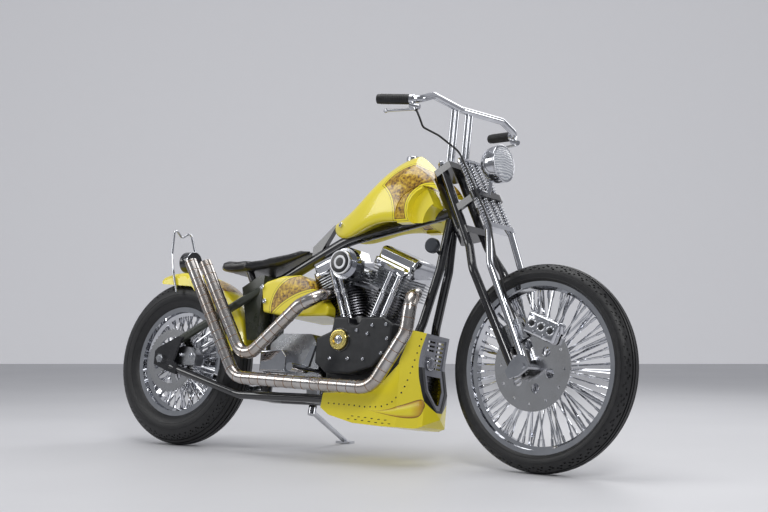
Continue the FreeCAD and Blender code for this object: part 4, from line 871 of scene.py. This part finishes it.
# Headlamp glass and rim
LAMP_FACE = millimetres(254.7, 0, 712.6)
LAMP_OUT = Vector((69.5, 0, -29.0)).normalized()
domed_discs(
    "headlamp_glass", [(LAMP_FACE + LAMP_OUT * 0.0003, LAMP_OUT)], 0.0600, 0.013, GLASS,
    ON_FORK, 48,
)
rings("headlamp_rim", [(LAMP_FACE, LAMP_OUT)], 0.0625, 0.0045, CHROME, ON_FORK, 1.0, 64)


# Scoops' rear cheeks, which bring the openings in the tank's sides to their round shape
CHEEK_REAR = 1.040
CHEEK_FRONT = 1.150
CHEEK_THICK = 0.035
# Height of each level, and how far out the tank's side is there
CHEEK_LEVELS = [
    (0.838, 0.116), (0.852, 0.121), (0.880, 0.1245), (0.910, 0.1262), (0.940, 0.1235), (0.964, 0.117),
    (0.981, 0.1105), (0.992, 0.105),
]


def scoop_cheeks():
    """The tank's skin round the rear of each scoop, curved as the tank's side is."""
    start_fresh()
    bpy.ops.mesh.primitive_grid_add(x_subdivisions=1, y_subdivisions=len(CHEEK_LEVELS) - 1, size=2)
    sheet = bpy.context.object
    rows = sorted({round(vertex.co.y, 5) for vertex in sheet.data.vertices})
    for vertex in sheet.data.vertices:
        height, out = CHEEK_LEVELS[rows.index(round(vertex.co.y, 5))]
        vertex.co = Vector((CHEEK_REAR if vertex.co.x < 0 else CHEEK_FRONT, -out, height))
    bpy.ops.object.mode_set(mode="EDIT")
    face_outwards()
    bpy.ops.mesh.extrude_region_move(TRANSFORM_OT_translate={"value": (0, CHEEK_THICK, 0)})
    face_outwards()
    close()
    cut(sheet, cylinder(96, 0.1003, 0.5, (1.150, 0, 0.868), SIDEWAYS), "INTERSECT")
    cut(sheet, cylinder(96, 0.0850, 0.5, (1.184, 0, 0.880), SIDEWAYS))
    other = duplicate(sheet)
    other.data.transform(Matrix.Scale(-1, 4, LEFT))
    other.data.flip_normals()
    settle(joined([sheet, other]), "tank_scoop_cheeks", TANK_PAINT, ON_BIKE, 35)


scoop_cheeks()


def cad_copy(node):
    """A copy of a CAD node's mesh, with its doubled points merged."""
    piece = duplicate(nodes[node])
    piece.parent = None
    piece.matrix_world = Matrix.Identity(4)
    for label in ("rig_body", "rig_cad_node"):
        if label in piece:
            del piece[label]
    choose(piece)
    open_all()
    bpy.ops.mesh.remove_doubles(threshold=0.0001)
    close()
    return piece


# The rocker boxes' top and foot up the cylinder from the crank, half their width and their round
ROCKER_TOP = 0.412
ROCKER_FOOT = 0.3625
ROCKER_HALF = 0.080
ROCKER_ROUND = 0.036


def rocker_covers():
    """The rocker boxes with their long upper edges rounded to barrels."""
    boxes = cad_copy("rocker_boxes")
    turned = BIKE.to_3x3()
    upright = BIKE.inverted()
    for side in (1, -1):
        up = up_cylinder(side)
        for hand in (LEFT, RIGHT):
            corner = CRANK + up * (ROCKER_TOP - ROCKER_ROUND) + hand * (ROCKER_HALF - ROCKER_ROUND)
            for degrees in (11.25, 30, 48.75, 67.5):
                angle = math.radians(degrees)
                out = up * math.cos(angle) + hand * math.sin(angle)
                pick(boxes, lambda face: (upright @ face.center - CRANK).dot(up) > ROCKER_FOOT)
                bpy.ops.mesh.bisect(
                    plane_co=BIKE @ (corner + out * ROCKER_ROUND), plane_no=turned @ out,
                    use_fill=True, clear_outer=True, threshold=0.00001,
                )
                close()
    bpy.ops.object.mode_set(mode="EDIT")
    face_outwards()
    close()
    settle(boxes, "rocker_covers", CHROME, AS_DRAWN)
    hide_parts("rocker_boxes")


def trimmed_fender():
    """The rear fender with its rear skirts cut up to a slim tail."""
    fender = cad_copy("rear_fender")
    cutter = rounded_box((0.42, 0.4, 0.14), 0.03, 5)
    tilt = Matrix.Rotation(math.radians(4.0), 4, "Y")
    cutter.matrix_world = BIKE @ Matrix.Translation((-0.132, 0, 0.5715)) @ tilt
    cut(fender, cutter)
    settle(fender, "rear_fender_trimmed", FENDER_PAINT, AS_DRAWN)
    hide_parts("rear_fender")


# Further spokes in the fans between the CAD's crossed ones
RIM_Y = 0.005
NIPPLE_LENGTH = 0.022
NIPPLE_BACK = 0.013


def fan_spokes(end, wheel, radius, foot_r, foot_y, tip_r, lean, tips):
    """Fat spokes with thicker nipples, from the hub's flanges to the rim."""
    length = (on_circle(tip_r, lean, RIM_Y) - Vector((foot_r, foot_y, 0))).length
    spoke = cylinder(8, radius, length, (0, 0, length / 2))
    pick(spoke, on_ends)
    bpy.ops.mesh.inset(thickness=radius * 0.3, depth=0.0)
    close()
    nipple = cylinder(8, radius * 1.5, NIPPLE_LENGTH, (0, 0, length - NIPPLE_BACK))
    pick(nipple, on_ends)
    bpy.ops.mesh.inset(thickness=radius * 0.4, depth=radius * 0.4)
    close()
    spots = []
    for k, degrees in enumerate(tips):
        side = 1 if k % 2 else -1
        back = -1 if (k // 2) % 2 else 1
        start = on_circle(foot_r, degrees - back * lean, side * foot_y)
        spots.append((start, on_circle(tip_r, degrees, side * RIM_Y) - start))
    set_out(
        joined([spoke, nipple]), end + "_fan_spokes", spots, CHROME, (end + "_wheel", wheel), 35
    )


fan_spokes(
    "front", FRONT_WHEEL, radius=0.0034, foot_r=0.039, foot_y=0.037, tip_r=0.2576, lean=7.2,
    tips=[24 * k + shift for k in range(15) for shift in (24, 30, 36)],
)
fan_spokes(
    "rear", REAR_WHEEL, radius=0.0032, foot_r=0.043, foot_y=0.051, tip_r=0.1866, lean=10.8,
    tips=[36 * k + shift for k in range(10) for shift in (33, 39, 45, 51, 57)],
)


# Front caliper's body over the disc's upper edge
CALIPER_TURN = 41.0
CALIPER_REACH = 0.134
CALIPER_OUT = 0.073
CALIPER_FACE = 0.0978
CALIPER_SIZE = (0.128, 0.050, 0.074)
HUB_CLEARANCE = 0.072
DISC_OUT = 0.064
DISC_SLOT_RADIUS = 0.1515
DISC_SLOT_WIDE = 0.0150


def caliper_body():
    """A bevelled caliper with a slot for the disc, and its piston caps and screws."""
    axle = Vector((FRONT_AXLE_AHEAD, 0, 0))
    outward = on_circle(1.0, CALIPER_TURN)
    along = on_circle(1.0, CALIPER_TURN + 90)
    turn = Matrix((along, RIGHT, outward)).transposed().to_4x4()
    body = rounded_box(CALIPER_SIZE, 0.011, 4)
    body.matrix_world = Matrix.Translation(axle + outward * CALIPER_REACH + RIGHT * CALIPER_OUT) @ turn
    cut(body, cylinder(96, DISC_SLOT_RADIUS, DISC_SLOT_WIDE, axle + RIGHT * DISC_OUT, SIDEWAYS))
    cut(body, cylinder(96, HUB_CLEARANCE, 0.2, axle + RIGHT * CALIPER_OUT, SIDEWAYS))
    settle(body, "caliper_body", CHROME, ON_FORK)
    face = axle + RIGHT * CALIPER_FACE

    def row(out, steps):
        """Spots in a row on the caliper's outer face."""
        return [(face + outward * out + along * step, RIGHT) for step in steps]

    caps = row(0.136, (-0.038, 0.0, 0.038))
    rings("caliper_piston_rings", caps, 0.0135, 0.0028, CHROME, ON_FORK, 0.9)
    domed_discs("caliper_pistons", caps, 0.0105, 0.0022, CASE_BLACK, ON_FORK, 24)
    bolts = row(0.161, (-0.050, -0.019, 0.019, 0.050)) + row(0.111, (-0.019, 0.019))
    cap_screws("caliper_screws", bolts, 0.0055, ON_FORK)


# Saddle
PAD_VOXEL = 0.006
MOST_PUFF = 0.006
PUFF_FRAMES = 20


def padded_saddle():
    """The thin leather saddle, puffed a little from the CAD's shape."""
    pad = cad_copy("saddle")
    mesh = pad.modifiers.new("mesh", "REMESH")
    mesh.mode = "VOXEL"
    mesh.voxel_size = PAD_VOXEL
    apply_all(pad)
    rest = [vertex.co.copy() for vertex in pad.data.vertices]
    cloth = pad.modifiers.new("cloth", "CLOTH")
    cloth.settings.use_pressure = True
    cloth.settings.uniform_pressure_force = 4.0
    cloth.settings.effector_weights.gravity = 0.0
    scene = bpy.context.scene
    for step in range(1, PUFF_FRAMES + 1):
        scene.frame_set(step)
    shape = pad.evaluated_get(bpy.context.evaluated_depsgraph_get()).to_mesh()
    moved = [vertex.co.copy() for vertex in shape.vertices]
    pad.modifiers.remove(cloth)
    for vertex, start, end in zip(pad.data.vertices, rest, moved):
        shift = end - start
        if shift.length > MOST_PUFF:
            shift *= MOST_PUFF / shift.length
        vertex.co = start + shift
    scene.frame_set(1)
    even = pad.modifiers.new("even", "SMOOTH")
    even.factor = 0.6
    even.iterations = 6
    fine = pad.modifiers.new("fine", "SUBSURF")
    fine.levels = 1
    fine.render_levels = 1
    apply_all(pad)
    settle(pad, "saddle_leather", LEATHER, AS_DRAWN, 60)
    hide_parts("saddle")


padded_saddle()


# Exhaust welds
WELD_EVERY = 0.040
WELD_RADIUS = 0.0240
WELD_THICK = 0.0011
WELDS_OUTSIDE = -0.13
BEND_STEPS = 12


def pipe_line(points, bend):
    """The middle line of a bent pipe, its corners rounded."""
    line = [points[0]]
    for i in range(1, len(points) - 1):
        corner = points[i]
        back = points[i - 1] - corner
        ahead = points[i + 1] - corner
        turn = math.pi - back.angle(ahead)
        cut_back = min(bend * math.tan(turn / 2), 0.48 * min(back.length, ahead.length))
        back.normalize()
        ahead.normalize()
        radius = cut_back / math.tan(turn / 2)
        centre = corner + (back + ahead).normalized() * (radius / math.cos(turn / 2))
        first = corner + back * cut_back - centre
        last = corner + ahead * cut_back - centre
        axis = first.cross(last)
        for k in range(BEND_STEPS + 1):
            line.append(centre + Matrix.Rotation(turn * k / BEND_STEPS, 3, axis) @ first)
    line.append(points[-1])
    return line


# Corners of each pipe in millimetres, and the radius of its bends in metres
REAR_PIPE = [(764, -60, 598), (766, -168, 566), (700, -184, 533), (462, -184, 326), (222, -190, 700)]
FRONT_PIPE = [
    (1060, 0, 571), (1142, -90, 588), (1178, -176, 560), (1172, -182, 440), (1046, -184, 244),
    (426, -184, 264), (146, -190, 706),
]
REAR_BEND = 0.060
FRONT_BEND = 0.080


def weld_beads():
    """Raised weld beads round both pipes, as on pipes made from short lengths."""
    spots = []
    for points, bend in ((REAR_PIPE, REAR_BEND), (FRONT_PIPE, FRONT_BEND)):
        line = pipe_line([millimetres(*point) for point in points], bend)
        spots += [spot for spot in walked(line, WELD_EVERY, WELD_EVERY) if spot[0].y < WELDS_OUTSIDE]
    rings("exhaust_welds", spots, WELD_RADIUS, WELD_THICK, WELD, around=28)


weld_beads()
rocker_covers()
trimmed_fender()
caliper_body()


def facing_right(y, places):
    """Spots that face right, at one distance across and at (x, z) places, in millimetres."""
    return [(millimetres(x, y, z), RIGHT) for x, z in places]


# Fasteners of the cases, the tanks and the rear caliper
cap_screws("gearcase_screws", facing_right(-140, [
    (936, 448), (984, 437), (1002, 467), (1069, 420), (1048, 368), (973, 347), (907, 347), (828, 346),
    (1060, 470),
]), 0.0065)
TIMING_CAP = millimetres(864, 0, 414)
timing_spots = [(TIMING_CAP + on_circle(0.009, math.degrees(a), -0.1536), RIGHT) for a in (0.6, 2.7, 4.8)]
cap_screws("timing_screws", timing_spots, 0.0035)
domed_discs("timing_centre", [(TIMING_CAP + RIGHT * 0.1496, RIGHT)], 0.017, 0.005, CHROME)
rings(
    "timing_base", [(TIMING_CAP + RIGHT * 0.1405, RIGHT)], 0.0400, 0.0045, BLACK_METAL,
    squash=0.7, around=48,
)
cap_screws("tank_tail_screws", mirrored([(millimetres(767, -56.5, 853), (-0.35, -0.93, 0.1))]), 0.010)
cap_screws("oil_tank_screws", facing_right(-124.2, [(470, 612), (488, 558)]), 0.0095)
cap_screws("rear_caliper_screws", facing_right(-110.3, [(74, 350), (128, 350)]), 0.008)

# Rivets up the fairing's front edge and along its pan, and its rows of short slits
EDGE_RIVETS = [
    (1172, -82, 427), (1168, -85, 403), (1163, -88, 378), (1158, -92, 353), (1153, -96, 329),
    (1148, -99, 307), (1142, -104, 282), (1136, -109, 259), (1128, -115, 237),
]
PAN_RIVETS = [
    (1112, 219), (1097, 204), (1078, 194), (1055, 187), (1030, 184), (1007, 183), (984, 182), (962, 183),
    (939, 185), (916, 186), (894, 187), (872, 187), (850, 188), (826, 189),
]
SLITS = [
    (934, 148), (962, 146), (990, 145), (1018, 143), (1047, 141), (1075, 140), (918, 137), (949, 136),
    (978, 134), (1007, 132), (1036, 130), (1064, 129), (1092, 128),
]
PAN_OUT = -122
rivet_spots = [(millimetres(*place), (0.6, -0.8, 0)) for place in EDGE_RIVETS]
rivet_spots += facing_right(PAN_OUT, PAN_RIVETS)
domed_discs(
    "fairing_rivets", mirrored(rivet_spots), 0.0031, 0.0011, DARK_ENAMEL, around=10
)
slit_spots = facing_right(PAN_OUT, [(x + shift, z) for x, z in SLITS for shift in (-3.4, 0, 3.4)])
domed_discs("fairing_slits", mirrored(slit_spots), 0.0019, 0.0005, DARK_ENAMEL, around=10)

# Plain ring and boss on the fairing's front panel
FRONT_OUT = (0.994, 0.0, -0.110)
rings(
    "front_panel_ring", [(millimetres(1184, -28, 346.2), FRONT_OUT)], 0.0205, 0.0030, CHROME,
    around=40,
)
domed_discs(
    "front_panel_boss", [(millimetres(1186, -28, 346), FRONT_OUT)], 0.0150, 0.0045, PANEL_GREY
)

# Air cleaner's enamel rings
air_spots = facing_right(-205, [(882, 684)])
domed_discs("air_cleaner_disc", air_spots, 0.0400, 0.0016, DARK_ENAMEL, around=48)
rings(
    "air_cleaner_outer_ring", air_spots, 0.0410, 0.0028, WHITE_ENAMEL, squash=0.7, around=64
)
rings(
    "air_cleaner_inner_ring", air_spots, 0.0205, 0.0052, WHITE_ENAMEL, squash=0.5, around=48
)

# Pushrod collars
collar_spots = []
for side, foot_x in ((1, 78), (1, 121), (-1, -46), (-1, -16)):
    foot = CRANK + millimetres(foot_x, -102, 136.3)
    for reach in (0.012, 0.100, 0.108):
        collar_spots.append((foot + up_cylinder(side) * reach, up_cylinder(side)))
rings("pushrod_collars", collar_spots, 0.0102, 0.0024, CHROME, squash=1.4, around=24)

# Rocker box screws
rocker_spots = []
for side in (1, -1):
    up = up_cylinder(side)
    ahead = Vector((up.z, 0, -up.x))
    for x in (-0.062, 0.0, 0.062):
        for hand in (RIGHT, LEFT):
            rocker_spots.append((CRANK + ahead * x + up * 0.349 + hand * 0.086, hand))
cap_screws("rocker_screws", rocker_spots, 0.0060)

# Nuts on the fork's top and the springs' rods
fork_nut_places = ((0, 0, 825), (54, -48, 821), (54, 48, 821))
acorn_nuts("fork_nuts", [(millimetres(*place), UP) for place in fork_nut_places], 0.013, ON_FORK)
acorn_nuts("spring_nuts", [((SPRING_X, y, 0.785), UP) for y in SPRING_YS], 0.0085, ON_FORK)

# Ribs round the grips
GRIP_RIBS = 16
grip_spots = []
for side in (-1, 1):
    start = millimetres(86.9, side * 338, 1014.7)
    along = (millimetres(204, side * 300, 941.1) - start).normalized()
    grip_spots += [(start + along * (0.006 + 0.0066 * k), along) for k in range(GRIP_RIBS)]
rings("grip_ribs", grip_spots, 0.0168, 0.0014, RUBBER, ON_FORK, around=24)

# Tail lamp's lens and ring
LAMP_REAR = millimetres(-64, 0, 741)
LAMP_BACK = (-1, 0, 0.04)
domed_discs("tail_lamp_lens", [(LAMP_REAR, LAMP_BACK)], 0.0330, 0.010, RED_GLASS, around=40)
rings(
    "tail_lamp_ring", [(LAMP_REAR + millimetres(46, 0, -2), LAMP_BACK)], 0.0430, 0.0028, CHROME,
    around=48,
)

# Primary case's clutch cover and screws
PRIMARY_RADIUS = 0.082
primary_low = millimetres(618, 150.6, 330)
primary_front = millimetres(902, 150.6, 362)
primary_along = (primary_front - primary_low).normalized()
primary_up = Vector((-primary_along.z, 0, primary_along.x))
primary_spots = []
for share in (0.0, 0.33, 0.67, 1.0):
    middle = primary_low.lerp(primary_front, share)
    for sign in (1, -1):
        primary_spots.append((middle + primary_up * sign * PRIMARY_RADIUS, LEFT))
for centre, sign in ((primary_low, -1), (primary_front, 1)):
    for turn in (-45, 0, 45):
        angle = math.radians(turn)
        reach = primary_along * sign * math.cos(angle) + primary_up * math.sin(angle)
        primary_spots.append((centre + reach * PRIMARY_RADIUS, LEFT))
for k in range(5):
    primary_spots.append((primary_low + on_circle(0.044, 72 * k, 0.005), LEFT))
cap_screws("primary_screws", primary_spots, 0.0055)
domed_discs("clutch_cover", [(primary_low, LEFT)], 0.056, 0.009, CHROME, around=48)


# Drive chain
CHAIN_PITCH = 0.0159
CHAIN_Y = 0.078
FRONT_SPROCKET_X = 0.560
REAR_SPROCKET_R = 0.121
FRONT_SPROCKET_R = 0.055
OUTER_PLATE_OUT = 0.0060
INNER_PLATE_OUT = 0.0040


def chain_line():
    """The closed line of the pins round both sprockets."""
    rear = Vector((0, CHAIN_Y, REAR_AXLE_HEIGHT))
    front = Vector((FRONT_SPROCKET_X, CHAIN_Y, REAR_AXLE_HEIGHT))
    tilt = math.degrees(math.asin((REAR_SPROCKET_R - FRONT_SPROCKET_R) / FRONT_SPROCKET_X))
    line = []
    for centre, radius, turn, sweep, steps in (
        (rear, REAR_SPROCKET_R, 90 - tilt, 180 + 2 * tilt, 40),
        (front, FRONT_SPROCKET_R, tilt - 90, 180 - 2 * tilt, 20),
    ):
        line += [centre + on_circle(radius, turn + sweep * k / steps) for k in range(steps + 1)]
    return line + [line[0]]


def drive_chain():
    """Side plates and rollers, one of each modelled and copied round both sprockets."""
    line = chain_line()
    total = sum((end - start).length for start, end in zip(line, line[1:]))
    count = 2 * round(total / (2 * CHAIN_PITCH))
    pins = [pin for pin, ahead in walked(line, 0.0, total / count)][:count]
    plate = cylinder(12, 0.0062, 0.0017)
    open_all()
    bpy.ops.transform.resize(value=(2.2, 1, 1))
    close()
    pick(plate, on_ends)
    bpy.ops.mesh.inset(thickness=0.0008, depth=0.0002)
    close()
    places = []
    for i, pin in enumerate(pins):
        after = pins[(i + 1) % count]
        ahead = (after - pin).normalized()
        turn = Matrix((ahead, ahead.cross(LEFT), LEFT)).transposed().to_4x4()
        offset = OUTER_PLATE_OUT if i % 2 else INNER_PLATE_OUT
        for hand in (RIGHT, LEFT):
            places.append(Matrix.Translation((pin + after) / 2 + hand * offset) @ turn)
    plates = copies(plate, places)
    roller = cylinder(10, 0.0046, 0.0136, turn=SIDEWAYS)
    pick(roller, lambda face: abs(face.normal.y) > 0.9)
    bpy.ops.mesh.inset(thickness=0.0018, depth=0.0)
    bpy.ops.mesh.inset(thickness=0.0002, depth=-0.0008)
    close()
    rollers = copies(roller, [Matrix.Translation(pin) for pin in pins])
    chain = settle(joined([plates, rollers]), "roller_chain", STEEL, ON_BIKE, 35)
    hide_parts("drive_chain")


drive_chain()


# Floor, backdrop and light
BACKDROP_AWAY = 13.0
LIGHT_AIM = Vector((0, 0, 0.5))
# Place, power and size of each light
LIGHTS = {
    "key_light": ((3.2, -3.4, 3.6), 88, 1.4),
    "top_light": ((-0.2, -0.4, 4.2), 70, 2.6),
    "rear_fill": ((-3.2, -3.0, 2.6), 44, 1.8),
    "front_fill": ((3.8, 1.6, 2.2), 30, 1.6),
    "left_light": ((0.0, 3.2, 3.0), 34, 2.0),
}


def stage_plane(name, size, place, turn, made):
    """A flat plane of the studio."""
    start_fresh()
    bpy.ops.mesh.primitive_plane_add(size=size, location=place, rotation=turn)
    plane = bpy.context.object
    plane.name = name
    plane.data.materials.append(made)
    return plane


def studio():
    """A pale floor, a backdrop behind the bike and soft lights."""
    floor_look, tree, shader = new_material("pale_floor", Roughness=0.55)
    place = add(tree, "TexCoord").outputs["Object"]
    cloud = add(tree, "TexNoise", {"Vector": place, "Scale": 1.2, "Detail": 5.0})
    shade = blend_colour(tree, cloud.outputs["Fac"], (0.60, 0.60, 0.62, 1), (0.68, 0.68, 0.70, 1))
    tree.links.new(shade, shader.inputs["Base Color"])
    floor = stage_plane("floor", 60, (0, 0, 0), (0, 0, 0), floor_look)
    wall_look, tree, shader = new_material("pale_backdrop", Roughness=0.9, Emission_Strength=0.36)
    shader.inputs["Emission Color"].default_value = (0.74, 0.74, 0.77, 1)
    cloud = add(tree, "TexNoise", {"Scale": 0.8, "Detail": 3.0})
    shade = blend_colour(tree, cloud.outputs["Fac"], (0.70, 0.70, 0.72, 1), (0.76, 0.76, 0.78, 1))
    tree.links.new(shade, shader.inputs["Base Color"])
    heading = math.radians(CAMERA_HEADING)
    look = Vector((math.cos(heading), math.sin(heading), 0))
    middle = Vector((camera.location.x, camera.location.y, 0)) + look * BACKDROP_AWAY
    wall = stage_plane("backdrop", 50, middle, (math.pi / 2, 0, heading - math.pi / 2), wall_look)
    for name, (spot, power, size) in LIGHTS.items():
        lamp = bpy.data.objects.new(name, bpy.data.lights.new(name, "AREA"))
        lamp.data.energy = power
        lamp.data.size = size
        lamp.location = spot
        lamp.rotation_euler = (LIGHT_AIM - Vector(spot)).to_track_quat("-Z", "Y").to_euler()
        bpy.context.scene.collection.objects.link(lamp)
    world = bpy.data.worlds.new("soft_world")
    world.use_nodes = True
    background = world.node_tree.nodes["Background"]
    background.inputs["Color"].default_value = (0.62, 0.64, 0.68, 1)
    background.inputs["Strength"].default_value = 0.40
    bpy.context.scene.world = world


studio()
bpy.context.scene.view_settings.view_transform = "Standard"
